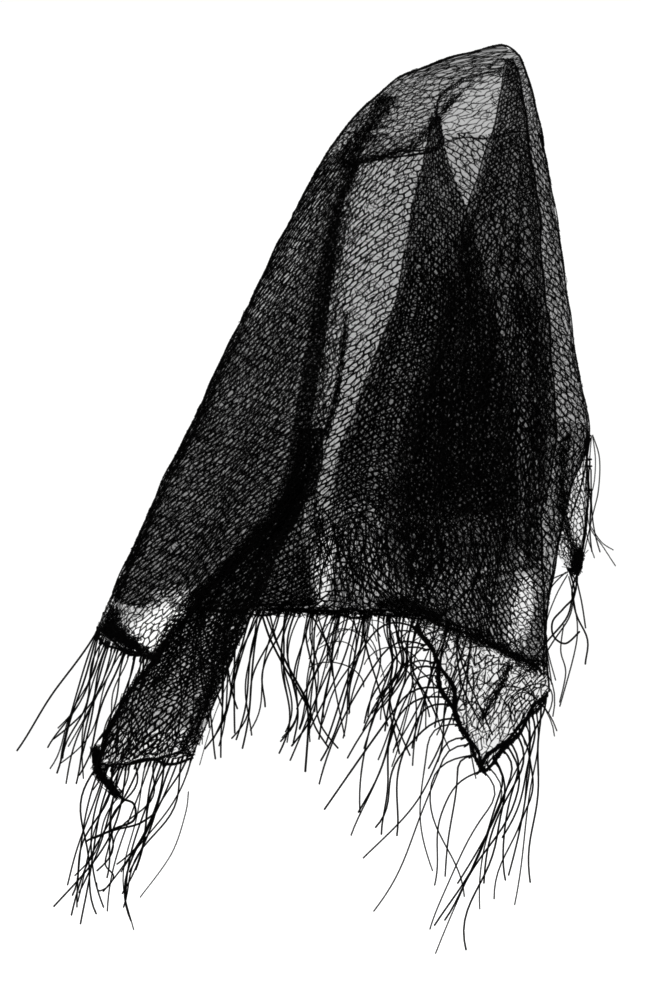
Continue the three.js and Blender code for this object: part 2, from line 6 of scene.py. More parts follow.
import bpy
import numpy as np
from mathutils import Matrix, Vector


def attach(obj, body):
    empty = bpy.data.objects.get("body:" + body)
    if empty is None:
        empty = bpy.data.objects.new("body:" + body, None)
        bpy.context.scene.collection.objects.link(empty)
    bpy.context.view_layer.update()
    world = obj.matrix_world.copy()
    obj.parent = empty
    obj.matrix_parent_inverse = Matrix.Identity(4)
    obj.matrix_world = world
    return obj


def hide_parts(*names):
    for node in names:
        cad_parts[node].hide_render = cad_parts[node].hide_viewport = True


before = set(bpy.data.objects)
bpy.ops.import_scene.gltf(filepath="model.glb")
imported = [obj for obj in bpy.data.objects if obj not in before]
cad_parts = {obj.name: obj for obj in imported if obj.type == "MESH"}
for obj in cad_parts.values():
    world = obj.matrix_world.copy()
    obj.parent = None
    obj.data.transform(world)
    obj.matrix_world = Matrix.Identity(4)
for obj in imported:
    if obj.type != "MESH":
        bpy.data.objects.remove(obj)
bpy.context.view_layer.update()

MM = 0.001
SEED = 7

# The view: one millimetre in the plane y = 0 is one pixel of the picture.
VIEW_CENTRE = (-182.5, -445.5)
VIEW_HEIGHT = 991
CAMERA_DISTANCE = 8000
SENSOR = 36
VIEW_GAMMA = 0.5
PIXEL_FILTER = 1.9
SKY_STRENGTH = 1.03
FLOOR_DROP = 935
FLOOR_RADIUS = 6  # in metres
FLOOR_COLOUR = (0.05, 0.05, 0.05, 1)
FLOOR_GLOW = 1.0  # the floor is lit from within, so that the fringe's tips keep their darkness on it

SIDE_SHARPNESS = 0.5  # 0 makes a level section an ellipse, 1 two flat arcs with sharp side folds
SIDE_SEAM_ANGLE = 1.8  # where a stretch ends short of a side fold, in degrees


def table(columns, *rows):
    """The rows of a table, each with the names of its columns."""
    return [dict(zip(columns.split(), row)) for row in rows]


# The worn form as level sections, from its left to its right outline and as deep in front as behind.
FORM = table(
    "drop left right depth",
    (0, -27, 10, 3), (5, -46, 15, 16.5), (15, -76, 19, 32.2), (25, -103, 22, 44.2), (35, -116, 25, 52.2),
    (45, -127, 28, 58.1), (60, -143, 31, 64.8), (83, -164, 36.5, 73), (128, -193, 44.5, 84),
    (203, -231, 57, 96), (303, -280, 70, 109), (383, -318, 84, 119), (433, -343, 68, 125),
    (513, -379, 50, 134), (583, -410, 41, 141), (660, -440, 40, 148),
)

CROWN_TOP = (-4, 0, 5)
CROWN_CAP = 0.05  # the share of the crown's height over which it closes to its top

# Where the crown ends, by the angle round the form: 0 right, 90 back, 180 left, 270 front.
CROWN_EDGE = table(
    "angle drop",
    (0, 84), (140, 84), (165, 108), (180, 118), (216, 118), (236, 111), (252, 104), (260, 90), (268, 58),
    (276, 43), (300, 26), (325, 36), (345, 68), (360, 84),
)

CROWN_LOWEST = max(row["drop"] for row in CROWN_EDGE)

BACK_HEM = table(
    "angle drop",
    (0, 622), (15, 618), (36, 598), (48, 586), (62, 570), (84, 565), (140, 559), (180, 548),
)

# Folds down the back: where, half width in degrees, and how far out they stand at the hem.
BACK_FOLDS = table(
    "angle width swell",
    (18, 7, 9), (34, 9, -12), (52, 8, 15), (69, 9, -16), (88, 8, 17), (104, 7, -13), (121, 9, 16),
    (140, 8, -12), (157, 7, 9),
)
FOLDS_START = 90  # the drop where those folds begin, and how far down they take to grow
FOLDS_GROW = 420

# The pleat on the inner side of the back: its left and right edge at each drop.
PLEAT_DEPTH = 3.6
PLEAT_RIPPLE = 1.5
BACK_PLEAT = table(
    "at drop left right",
    (0, 388, -186, -181), (1, 430, -207, -197), (2, 480, -232, -202), (3, 530, -250, -192),
    (4, 557, -258, -186),
)

FRONT_LEFT_EDGE = table(
    "drop right",
    (118, -152), (153, -164), (203, -173), (273, -181), (353, -193), (413, -203), (453, -217), (513, -268),
    (553, -310), (608, -345),
)
FRONT_LEFT_HEM_DROP = 578
FRONT_LEFT_COLUMNS = 11
PLEAT_WIDTH = 19
PLEAT_STEP = 3.6
PLEAT_TOP = 0.35  # how far the pleat is open at its top, where it is narrow
PLEAT_CLOSES = 0.9  # the share of its height from which on it closes
# How the free edge turns under: across is a share of the pleat's width, layer a count of layers in.
PLEAT = table(
    "at across layer",
    (0, 0.0, 0.0), (1, 0.12, 0.5), (2, 0.0, 1.0), (3, -0.5, 1.06), (4, -0.9, 1.12), (5, -0.98, 1.6),
    (6, -0.86, 2.1), (7, -0.45, 2.12), (8, -0.04, 2.1),
)

SIDE_RIGHT_EDGE = table(
    "drop left",
    (30, 2), (93, 10), (163, 20), (293, 31), (372, 37),
)

# The stretches that hang free, a row for each level from their left to their right edge. Bulge is how
# far the middle stands to the front and fold how high the folds are.
COLUMNS = "left_x left_drop left_y right_x right_drop right_y bulge fold"
INNER_FOLD = [
    (-75, 70, -64.4, -65, 70, -64.6, 0, 0),
    (-82, 110, -58, -59, 110, -54, 2, 1),
    (-93, 153, -48, -42, 153, -40, 5, 4),
    (-101, 203, -36, -27, 203, -28, 8, 7),
    (-111, 253, -26, -13, 253, -20, 9, 9),
    (-130, 303, -22, -2, 303, -16, 9, 11),
    (-148, 353, -20, 7, 353, -14, 9, 12),
    (-166, 400, -20, 11, 420, -14, 9, 13),
    (-172, 446, -20, 13, 466, -14, 9, 14),
    (-176, 486, -20, 13, 500, -14, 9, 14),
]
FRONT_RIGHT = [
    (2, 10, -20.9, 8, 10, -17.4, 0, 0),
    (-3, 30, -46, 13, 30, -34, 1, 0.5),
    (-8, 58, -64, 18, 58, -42, 2, 2),
    (-17, 93, -80, 23, 93, -48, 4, 5),
    (-28, 128, -90, 28, 128, -50, 6, 8),
    (-40, 163, -96, 32, 163, -52, 8, 9),
    (-58, 223, -102, 37, 223, -54, 10, 10),
    (-80, 303, -110, 43, 293, -56, 12, 12),
    (-103, 373, -116, 49, 353, -58, 13, 13),
    (-116, 433, -120, 46, 413, -60, 14, 14),
    (-122, 483, -120, 36, 463, -60, 14, 14),
    (-110, 533, -118, 35, 508, -60, 14, 12),
    (-90, 573, -114, 37, 543, -60, 12, 9),
    (-74, 603, -108, 39, 573, -60, 10, 7),
    (-55, 648, -100, 40, 603, -60, 8, 5),
    (-39, 686, -92, 41, 626, -60, 6, 3),
    (-25, 718, -86, 41, 643, -60, 4, 2),
]
CORNER_ROW = 12  # the row where the fringe of the left edge starts
TAIL_RIGHT = [
    (38, 373, -58, 82.6, 373, -1.5, 8, 0),
    (33, 402, -48, 82, 396, -8, 8, 3),
    (33, 432, -42, 82, 426, -13, 7, 5),
    (37, 462, -36, 82, 456, -15, 6, 5),
    (46, 496, -30, 79, 488, -17, 4, 4),
    (63, 521, -25, 75, 518, -18, 2, 1),
]
# Here the third and sixth columns say how far the edge lies inside the worn form.
TAIL_LEFT = [
    (-205, 380, 11.6, -182, 380, 11, 0, 0),
    (-212, 420, 13.6, -184, 420, 12, 0, -2),
    (-232, 463, 15.6, -205, 463, 12, 1, -4),
    (-277, 513, 17.6, -231, 513, 12, 2, -6),
    (-314, 563, 18.6, -253, 563, 12, 3, -8),
    (-350, 608, 19.6, -272, 608, 14, 5, -10),
    (-383, 656, 12.6, -291, 653, 16, 8, -11),
    (-409, 716, 4.6, -310, 703, 18, 10, -10),
]

# The nets, one or more for each stretch: a cell's width and height; the yarn's radius; turn, the slant of
# the rows in degrees, which peak lets fall to both sides of the middle; gather, how far the net follows
# the stretch where it narrows; grow, how much thicker the yarn is at the bottom; loose, how unevenly the
# cells are knitted; gap, how many threads are missing; mottle, how much the yarn's thickness changes from
# place to place; off, how far the net lies off the middle surface; first and last, shares of the stretch's
# height, and tilt, how much further down the left end reaches; fade, the shares over which it thins out at
# its top, bottom, right and left; reach, how many rows past the edge a knot may lie.
NETS = table(
    "stretch cell thread turn gather others",
    ("crown", (9.0, 7.2), 0.34, 8, 1, dict(grow=0.35, reach=1.1)),
    ("back", (10.6, 6.4), 0.6, 0, 0.9, dict(grow=0.6, peak=(0.78, 0.58), fade=(0, 0, 0, 0.14))),
    ("back_pleat", (6.8, 5.2), 0.75, 20, 0.7, dict(fade=(0.3, 0, 0.1, 0))),
    ("back_pleat", (6.8, 5.2), 0.75, -38, 0.7, dict(off=-1.5, fade=(0.3, 0, 0.15, 0))),
    ("side_right", (9.6, 8.2), 0.34, 18, 1, dict(loose=0.16)),
    ("front_left", (9.0, 6.4), 0.54, 60, 0.95, dict(gap=0.03, loose=0.18, mottle=0.3)),
    ("front_left_pleat", (8.6, 5.6), 0.7, 0, 0.95, dict()),
    ("inner_fold", (7.8, 5.6), 0.8, 22, 0.5, dict(mottle=0.3, fade=(0, 0.14, 0, 0))),
    ("inner_fold", (7.8, 5.8), 0.9, -30, 0.5, dict(
        mottle=0.3, first=0.2, off=1.5, fade=(0.3, 0.18, 0.1, 0.1),
    )),
    ("front_right", (8.4, 6.0), 0.75, 24, 0.8, dict(
        loose=0.15, mottle=0.35, last=0.72, fade=(0, 0.05, 0, 0.1),
    )),
    ("front_right", (8.0, 6.0), 0.95, -34, 0.7, dict(
        mottle=0.35, first=0.24, last=0.7, tilt=0.22, off=1.5, fade=(0.24, 0.14, 0.12, 0.16),
    )),
    ("front_right", (9.4, 7.4), 0.6, 12, 1, dict(loose=0.24, gap=0.05, mottle=0.3, first=0.69)),
    ("tail_left", (7.4, 5.6), 0.95, 34, 0.7, dict(mottle=0.35, last=0.97)),
    ("tail_left", (7.2, 5.4), 1.0, -20, 0.7, dict(mottle=0.35, last=0.92, off=-1.4, fade=(0, 0.2, 0, 0))),
    ("tail_left", (8.4, 6.4), 0.7, 34, 0.9, dict(loose=0.16, first=0.9)),
    ("tail_right", (6.8, 5.6), 0.46, 14, 0.6, dict()),
)
NET_DEFAULTS = dict(
    peak=(0, 0), grow=0, loose=0.1, gap=0.012, mottle=0.14, off=0, first=0, last=1, tilt=0,
    fade=(0, 0, 0, 0), reach=0.45,
)
ZIGZAG = 0.2  # how far the knots of a row lie above and below it, in rows
# How a net's columns and rows wander: by how many cells, and over which two lengths.
COLUMN_WANDER = (0.8, 47, 71)
ROW_WANDER = (0.9, 39, 83)
PEAK_ROUNDING = 25  # over how many millimetres to each side of the middle a peak is round
RAGGED = 0.02  # how unevenly a net ends inside its stretch
NO_FADE = 0.001  # a share under this is no fade
STRAY_SHARE = 0.25  # how many knots are left where a net has faded out
FADED_YARN = 0.5  # how thick their yarn is
NET_THICKNESS = 0.35  # how far the knots scatter in depth
YARN_SPREAD = 0.16  # how much the yarn's thickness changes from knot to knot, and its limits
YARN_LIMITS = (0.6, 1.5)
KNOT_AND_WAIST = (1.12, 0.82)  # how thick a row is at its knots and between them
BAR_SHAPE = np.array([1.05, 0.8, 1.05])  # how thick a bar is along its length
BAR_BOW = 0.12  # how far bars bow to a side, in rows
NET_SIDES = 3

# The stretches of the cloth. Each has a node, a sheet of painted shade that greys the holes of its net, and
# loose fibres on its surfaces. Dark is how much painted shade that sheet lays over the holes, thin_from the
# share of the height from which on the painted shade is thin, thin_front whether it is thin in front, and
# fibres their count on each surface. Hangs_from names the nodes that hold it, and goes_with the pieces that
# go with it besides its net.
STRETCHES = {
    "crown": dict(node="crown", dark=0.32, thin_front=True, fibres=dict(crown=500), hangs_from=[]),
    "back": dict(
        node="back_panel", dark=0.38, fibres=dict(back=12000), hangs_from=["crown"],
        goes_with=["back_fibres", "fringe_back"],
    ),
    "back_pleat": dict(
        node="back_pleat", dark=0.3, fibres=dict(back_pleat=300), hangs_from=["back_panel"]
    ),
    "side_right": dict(node="side_right", dark=0.06, fibres=dict(side_right=80), hangs_from=["crown"]),
    "front_left": dict(
        node="front_left", dark=0.24, fibres=dict(front_left=3600, front_left_pleat=300),
        hangs_from=["crown"], goes_with=["fringe_front_left"],
    ),
    "inner_fold": dict(
        node="inner_fold", dark=0.35, thin_from=0.9, fibres=dict(inner_fold=1800),
        hangs_from=["crown"], goes_with=["fringe_inner"],
    ),
    "front_right": dict(
        node="front_right", dark=0.35, thin_from=0.68, fibres=dict(front_right=3600),
        hangs_from=["crown"], goes_with=["fringe_corner_left", "fringe_corner_right"],
    ),
    "tail_left": dict(
        node="tail_left", dark=0.35, thin_from=0.9, fibres=dict(tail_left=1300),
        hangs_from=["front_left"], goes_with=["fringe_tail_left"],
    ),
    "tail_right": dict(
        node="tail_right", dark=0.1, fibres=dict(tail_right=200),
        hangs_from=["side_right"], goes_with=["fringe_tail_right", "fringe_right_edge"],
    ),
}

FIBRE_RADIUS = 0.25
FIBRE_LENGTH = 8
FIBRE_LENGTHS = (0.6, 1.3)  # how much shorter and longer than that they can be
FIBRE_OFF = 0.5  # how far fibres lie off their surface
CLOSEST = 0.98  # past this quantile of how far the cloth is stretched, fibres lie no closer
CROWN_BARE = 0.15  # the share of the crown's height that has no fibres
THIN_PAINTED_SHADE = 0.1  # how much painted shade a thin part lays over the holes
THIN_YARN = 0.85  # how thick the yarn is in a thin place
THIN_RIM = 1.35  # how much larger than the place its thin rim is
PAINTED_SHADE_CELL = 5  # side of a square of the mesh of the painted shade
# The colour of the painted shade.
PAINTED_SHADE_COLOUR = (0.006, 0.0055, 0.0055, 1)

YARN_ROUGHNESS = 0.82
YARN_GLOSS = 0.12
YARN_SHEEN = 0.02
YARN_TONES = ((0.35, (0.5, 0.46, 0.48)), (0.68, (1.9, 1.75, 1.7)))  # where each tone lies, and its tint

# Where a stretch has a thin place, with thinner yarn and thinner painted shade: an oval that rises to the
# right.
# Bare ones have no painted shade at all.
THIN_PLACES = table(
    "stretch x drop long short rise bare",
    ("front_left", -346, 575, 37, 16, 36, True),
    ("front_left", -216, 196, 80, 14, 65, True),
    ("front_right", 16, 545, 48, 17, 70, True),
    ("back", -342, 560, 32, 14, 32, True),
    ("back", 20, 562, 30, 9, 80, False),
    ("back", -178, 518, 30, 8, 82, False),
)


def smooth(value):
    t = np.clip(value, 0, 1)
    return t * t * (3 - 2 * t)


def lerp(a, b, share):
    return a + (b - a) * share


def read(rows, key, values):
    """Reads every column of a table at these values of its key, on a smooth curve through its rows."""
    values = np.asarray(values, float)
    keys = np.array([row[key] for row in rows], float)
    last = len(rows) - 1
    i = np.clip(np.searchsorted(keys, values, side="right") - 1, 0, last - 1)
    before, after = np.maximum(i - 1, 0), np.minimum(i + 2, last)
    span = keys[i + 1] - keys[i]
    t = np.clip((values - keys[i]) / span, 0, 1)
    found = {}
    for column in rows[0]:
        c = np.array([row[column] for row in rows], float)
        slope_in = np.where(i == before, 0, (c[i + 1] - c[before]) / (keys[i + 1] - keys[before]) * span)
        slope_out = np.where(i + 1 == after, 0, (c[after] - c[i]) / (keys[after] - keys[i]) * span)
        found[column] = (
            c[i] * (2 * t**3 - 3 * t**2 + 1)
            + slope_in * (t**3 - 2 * t**2 + t)
            + c[i + 1] * (3 * t**2 - 2 * t**3)
            + slope_out * (t**3 - t**2)
        )
    return found


def form_point(angle, drop, swell=0):
    """A point of the worn form. Swell moves it out."""
    section = read(FORM, "drop", drop)
    turn = np.radians(angle)
    half = (section["right"] - section["left"]) / 2
    middle = (section["right"] + section["left"]) / 2
    lens = np.sin(turn) * np.abs(np.sin(turn)) ** SIDE_SHARPNESS
    return np.stack(
        [
            middle + (half + swell * np.abs(np.cos(turn))) * np.cos(turn),
            (section["depth"] + swell) * lens,
            -np.asarray(drop, float) + 0 * turn,
        ],
        axis=-1,
    )


def front_angle(x, drop):
    """The angle at which the front of the worn form has this x."""
    section = read(FORM, "drop", drop)
    share = (2 * x - section["right"] - section["left"]) / (section["right"] - section["left"])
    return 180 + np.degrees(np.arccos(-np.clip(share, -1, 1)))


def crown_edge(angle):
    """The drop at which the crown ends."""
    return read(CROWN_EDGE, "angle", angle)["drop"]


def back_swell(angle, drop):
    """How far the folds down the back stand out."""
    grown = smooth((drop - FOLDS_START) / FOLDS_GROW)
    swell = 0
    for fold in BACK_FOLDS:
        swell = swell + fold["swell"] * np.exp(-(((angle - fold["angle"]) / fold["width"]) ** 2))
    return grown * swell


# Each stretch is a surface: across and down run from 0 to 1.
def crown_surface(across, down):
    angle = across * 360
    ring = form_point(angle, crown_edge(angle) * np.maximum(down, CROWN_CAP))
    return lerp(np.array(CROWN_TOP, float), ring, np.clip(down / CROWN_CAP, 0, 1)[..., None])


def crown_net_surface(across, down):
    """The crown with levels of even drop, held at its edge where they would pass it."""
    return crown_surface(across, np.minimum(down * CROWN_LOWEST / crown_edge(across * 360), 1))


def back_surface(across, down):
    angle = lerp(SIDE_SEAM_ANGLE, 180 - SIDE_SEAM_ANGLE, across)
    drop = lerp(crown_edge(angle), read(BACK_HEM, "angle", angle)["drop"], down)
    return form_point(angle, drop, back_swell(angle, drop))


def back_pleat_surface(across, down):
    row = read(BACK_PLEAT, "at", down * (len(BACK_PLEAT) - 1))
    angle = 360 - front_angle(lerp(row["left"], row["right"], across), row["drop"])
    inside = -PLEAT_DEPTH - PLEAT_RIPPLE * np.sin(across * np.pi * 3) ** 2
    return form_point(angle, row["drop"], back_swell(angle, row["drop"]) + inside)


def side_right_surface(across, down):
    first, last = SIDE_RIGHT_EDGE[0], SIDE_RIGHT_EDGE[-1]
    top_sweep = 360 - front_angle(first["left"], first["drop"])
    edge_drop = lerp(first["drop"], last["drop"], down)
    sweep = 360 - front_angle(read(SIDE_RIGHT_EDGE, "drop", edge_drop)["left"], edge_drop)
    angle = 360 - SIDE_SEAM_ANGLE - (1 - across) * (sweep - SIDE_SEAM_ANGLE)
    top = crown_edge(360 - (1 - across) * top_sweep)
    return form_point(angle, lerp(top, last["drop"], down))


def front_left_surface(across, down):
    first, last = FRONT_LEFT_EDGE[0], FRONT_LEFT_EDGE[-1]
    top_sweep = front_angle(first["right"], first["drop"]) - 180
    edge_drop = lerp(crown_edge(180 + top_sweep), last["drop"], down)
    edge = read(FRONT_LEFT_EDGE, "drop", edge_drop)["right"]
    sweep = front_angle(edge, edge_drop) - 180
    top = crown_edge(180 + across * top_sweep)
    low = lerp(FRONT_LEFT_HEM_DROP, last["drop"], across)
    angle = 180 + SIDE_SEAM_ANGLE + across * (sweep - SIDE_SEAM_ANGLE)
    return form_point(angle, lerp(top, low, down))


def front_left_pleat_surface(across, down):
    """The free edge: it turns under twice behind the end of the flat stretch."""
    one = np.ones_like(down)
    end = front_left_surface(one, down)
    along = end - front_left_surface(one - 1 / FRONT_LEFT_COLUMNS, down)
    along[..., 2] = 0
    along /= np.linalg.norm(along, axis=-1, keepdims=True)
    inward = np.stack([-along[..., 1], along[..., 0], 0 * along[..., 0]], axis=-1)
    closing = np.where(down > PLEAT_CLOSES, 1 - (down - PLEAT_CLOSES) * 4, 1)
    width = PLEAT_WIDTH * smooth(PLEAT_TOP + down * 2) * closing
    fold = read(PLEAT, "at", across * (len(PLEAT) - 1))
    folded = end + along * (fold["across"] * width)[..., None]
    return folded + inward * (fold["layer"] * PLEAT_STEP)[..., None]


def free_surface(rows, folds, inside=False):
    levels = [dict(row, at=i) for i, row in enumerate(table(COLUMNS, *rows))]

    def surface(across, down):
        row = read(levels, "at", down * (len(levels) - 1))
        left_y, right_y = row["left_y"], row["right_y"]
        if inside:
            left_angle = front_angle(row["left_x"], row["left_drop"])
            right_angle = front_angle(row["right_x"], row["right_drop"])
            left_y = left_y + form_point(left_angle, row["left_drop"])[..., 1]
            right_y = right_y + form_point(right_angle, row["right_drop"])[..., 1]
        wave = 0.5 - 0.5 * np.cos(across * folds * 2 * np.pi + 0.6 * np.sin(3 * across))
        rise = 4 * across * (1 - across)
        return np.stack(
            [
                lerp(row["left_x"], row["right_x"], across),
                lerp(left_y, right_y, across) - row["bulge"] * rise - row["fold"] * wave,
                -lerp(row["left_drop"], row["right_drop"], across),
            ],
            axis=-1,
        )

    return surface


SURFACES = {
    "crown": crown_surface,
    "back": back_surface,
    "back_pleat": back_pleat_surface,
    "side_right": side_right_surface,
    "front_left": front_left_surface,
    "front_left_pleat": front_left_pleat_surface,
    "inner_fold": free_surface(INNER_FOLD, 4.5),
    "front_right": free_surface(FRONT_RIGHT, 5),
    "tail_left": free_surface(TAIL_LEFT, 2.5, inside=True),
    "tail_right": free_surface(TAIL_RIGHT, 2.5),
}
NET_SURFACES = {"crown": crown_net_surface}


def tangents(surface, across, down, step=0.004):
    side = surface(np.clip(across + step, 0, 1), down) - surface(np.clip(across - step, 0, 1), down)
    fall = surface(across, np.clip(down + step, 0, 1)) - surface(across, np.clip(down - step, 0, 1))
    return side, fall


def unit(vectors):
    return vectors / np.maximum(np.linalg.norm(vectors, axis=-1, keepdims=True), 1e-9)


def shown(name, mesh):
    """Puts a mesh into the scene, with smooth shading."""
    mesh.polygons.foreach_set("use_smooth", np.ones(len(mesh.polygons), bool))
    piece = bpy.data.objects.new(name, mesh)
    bpy.context.scene.collection.objects.link(piece)
    return piece


class Strands:
    """Collects tubes and makes them one mesh."""

    def __init__(self):
        self.points, self.quads, self.caps, self.count = [], [], [], 0

    def add(self, paths, radii, sides, square):
        """Closed tubes along paths. Square is a direction that keeps their sides from twisting."""
        paths = np.asarray(paths, float)
        if paths.ndim == 2:
            paths = paths[None]
        tubes, steps = paths.shape[:2]
        way = unit(np.gradient(paths, axis=1))
        across = unit(np.cross(way, square))
        third = np.cross(way, across)
        turn = np.arange(sides) / sides * 2 * np.pi
        radii = np.broadcast_to(np.asarray(radii, float), (tubes, steps))[..., None, None]
        ring = across[..., None, :] * np.cos(turn)[:, None] + third[..., None, :] * np.sin(turn)[:, None]
        self.points.append((paths[..., None, :] + ring * radii).reshape(-1, 3))
        side = np.arange(sides)
        start = self.count + np.arange(tubes)[:, None, None] * steps * sides
        level = start + np.arange(steps - 1)[None, :, None] * sides
        a, b = level + side, level + (side + 1) % sides
        self.quads.append(np.stack([a, b, b + sides, a + sides], axis=-1).reshape(-1, 4))
        self.caps.extend((start[:, 0] + side[::-1]).tolist())
        self.caps.extend((start[:, 0] + (steps - 1) * sides + side).tolist())
        self.count += tubes * steps * sides

    def make(self, name, material):
        mesh = bpy.data.meshes.new(name)
        points = np.concatenate(self.points) * MM
        faces = np.concatenate(self.quads).tolist() + self.caps
        mesh.from_pydata(points.tolist(), [], faces)
        mesh.materials.append(material)
        return shown(name, mesh)


def lengths(lines):
    """How far along its line each point lies. The lines run along the last axis but one."""
    steps = np.linalg.norm(np.diff(lines, axis=-2), axis=-1)
    return np.concatenate([np.zeros(steps[..., :1].shape), np.cumsum(steps, axis=-1)], axis=-1)


def flat_grid(surface):
    """The shares and levels of a grid on the surface, and how far along each level every point lies."""
    share = np.linspace(0, 1, 121)
    levels = np.linspace(0, 1, 61)
    grid = surface(share[None, :] + 0 * levels[:, None], levels[:, None] + 0 * share[None, :])
    length = np.linalg.norm(np.diff(grid, axis=0), axis=2).sum(axis=0).mean()
    return share, levels, lengths(grid), length


def across_at(share, levels, along, run, down):
    """The across value at which a level has come this share of its own length."""
    place = np.clip(down, 0, 1) * (len(levels) - 1)
    level = np.minimum(place.astype(int), len(levels) - 2)
    found = np.zeros_like(run)
    for i in range(len(levels) - 1):
        here = level == i
        if here.any():
            ends = [np.interp(run[here], along[k] / max(along[k, -1], 1e-6), share) for k in (i, i + 1)]
            found[here] = lerp(ends[0], ends[1], place[here] - i)
    return found


def patches(s, t, seed):
    """A slow variation from -1 to 1 over the cloth."""
    return (
        np.sin(s / 23 + 2.1 * seed + np.sin(t / 31))
        + np.sin(t / 27 + 1.3 * seed + 1.4 * np.sin(s / 41))
        + np.sin((s + t) / 17 + seed)
    ) / 3


def in_thin_place(stretch, place, size=1, bare=False):
    """Which points lie within this many times the size of a thin place, or of a bare one, of this stretch."""
    thin = np.zeros(place.shape[:-1], bool)
    for spot in THIN_PLACES:
        if spot["stretch"] == stretch and (spot["bare"] or not bare):
            rise = math.radians(spot["rise"])
            x, up = place[..., 0] - spot["x"], place[..., 2] + spot["drop"]
            along = (x * math.cos(rise) + up * math.sin(rise)) / spot["long"]
            over = (-x * math.sin(rise) + up * math.cos(rise)) / spot["short"]
            thin |= along**2 + over**2 < size**2
    return thin


def flat_knots(look, reach, chance, seed):
    """The knots of a net that lies flat: where they are, their radius, and which have a bar under them."""
    wide, high = look["cell"]
    rows = np.arange(-int(reach / high) - 1, int(reach / high) + 2)
    columns = np.arange(-int(2 * reach / wide) - 1, int(2 * reach / wide) + 2)
    column, row = np.meshgrid(columns, rows)
    even = (column + row) % 2 == 0
    s = column * wide / 2
    t = row * high + np.where(even, 1, -1) * ZIGZAG * high / 2
    s = s + wide * look["loose"] * chance.standard_normal(s.shape)
    t = t + high * look["loose"] * chance.standard_normal(t.shape)
    cells, over_one, over_other = COLUMN_WANDER
    s = s + wide * cells * np.sin(t / over_one + seed) * np.sin(s / over_other + 2 * seed)
    cells, over_one, over_other = ROW_WANDER
    t = t + high * cells * np.sin(s / over_one + seed) * np.sin(t / over_other + seed)
    radius = look["thread"] * (1 + look["mottle"] * patches(s, t, seed))
    ramp = np.sqrt(s**2 + PEAK_ROUNDING**2)
    t = t + look["peak"][0] * (ramp + s) / 2 + look["peak"][1] * (ramp - s) / 2
    turn = math.radians(look["turn"])
    side = s * math.cos(turn) + t * math.sin(turn)
    fall = -s * math.sin(turn) + t * math.cos(turn)
    return side, fall, radius, even


def fullness(look, across, down):
    """How full a net is: 1 where it is whole, down to 0 where it has faded out."""
    top, low, right, left = (max(part, 1e-6) for part in look["fade"])
    end = look["last"] + look["tilt"] * (0.5 - across)
    full = smooth((down - look["first"]) / top + (top < NO_FADE))
    full = full * smooth((end - down) / low + (low < NO_FADE))
    full = full * smooth((1 - across) / right + (right < NO_FADE))
    return full * smooth(across / (left * np.clip(down * 3, 0.01, 1)) + (left < NO_FADE))


def net(strands, look, seed):
    """Knits one net of a stretch: wavy rows, and short bars that join each row to the next."""
    look = {**NET_DEFAULTS, **look, **look["others"]}
    surface = NET_SURFACES.get(look["stretch"], SURFACES[look["stretch"]])
    chance = np.random.default_rng(SEED + seed)
    share, levels, along, length = flat_grid(surface)
    widths = along[:, -1]
    widest = widths.max()
    spread = widest ** (1 - look["gather"]) * widths ** look["gather"]
    wide, high = look["cell"]
    reach = math.hypot(widest, length) / 2 + 2 * wide + max(look["peak"]) * widest / 2
    flat_s, flat_t, radius, even = flat_knots(look, reach, chance, seed)
    flat_t = flat_t + length / 2
    down = flat_t / length
    local = np.maximum(np.interp(np.clip(down, 0, 1), levels, spread), wide)
    run = 0.5 + flat_s / local
    over = np.maximum(np.abs(run - 0.5) - 0.5, 0) * local
    over = np.maximum(over, np.maximum(np.abs(down - 0.5) - 0.5, 0) * length)
    across = across_at(share, levels, along, np.clip(run, 0, 1), down)
    if look["stretch"] == "crown":
        over = np.maximum(over, down * CROWN_LOWEST - crown_edge(across * 360))
    inside = over < look["reach"] * high
    border = (over > 0) & inside
    down = np.clip(down, 0, 1)
    ragged = RAGGED * patches(flat_s, flat_t, seed + 3)
    inside &= (down + ragged >= look["first"]) | (look["first"] == 0)
    inside &= (down + ragged <= look["last"] + look["tilt"] * (0.5 - across)) | (look["last"] == 1)
    place = surface(across, down)
    square = unit(np.cross(*tangents(surface, across, down)))
    off = look["off"] + NET_THICKNESS * chance.standard_normal(down.shape)
    place = place + square * off[..., None]
    full = fullness(look, across, down)
    inside &= chance.random(down.shape) < STRAY_SHARE + full
    grown = (1 + look["grow"] * down) * lerp(FADED_YARN, 1, full)
    grown = np.where(in_thin_place(look["stretch"], place), THIN_YARN, grown)
    uneven = (1 + YARN_SPREAD * chance.standard_normal(down.shape)).clip(*YARN_LIMITS)
    radius = radius * grown * uneven
    whole_row = inside[:, :-1] & inside[:, 1:] & ~(border[:, :-1] & border[:, 1:])
    whole_row &= chance.random(whole_row.shape) > look["gap"]
    bow = BAR_BOW * high * chance.standard_normal(down.shape)
    bars = inside[:-1] & inside[1:] & even[:-1] & ~(border[:-1] & border[1:])
    bars &= chance.random(bars.shape) > look["gap"]
    plain = look["off"] != 0
    knit_rows(strands, place, square, radius, whole_row, plain)
    knit_bars(strands, place, square, radius, bars, None if plain else bow / high)


def knit_rows(strands, place, square, radius, whole_row, plain):
    """The rows of a net, each thinner between its knots if the net isn't plain."""
    for i, whole in enumerate(whole_row):
        runs = np.flatnonzero(np.diff(np.concatenate([[0], whole.astype(int), [0]])))
        for first, last in runs.reshape(-1, 2):
            points, facing = place[i, first : last + 1], square[i, first : last + 1]
            thick = radius[i, first : last + 1]
            if not plain:
                line = np.empty((2 * len(points) - 1, 3))
                line[0::2], line[1::2] = points, (points[1:] + points[:-1]) / 2
                waist = np.empty(len(line))
                waist[0::2], waist[1::2] = thick * KNOT_AND_WAIST[0], thick[:-1] * KNOT_AND_WAIST[1]
                points, thick, facing = line, waist, np.repeat(facing, 2, axis=0)[: len(line)]
            strands.add(points, thick, NET_SIDES, facing)


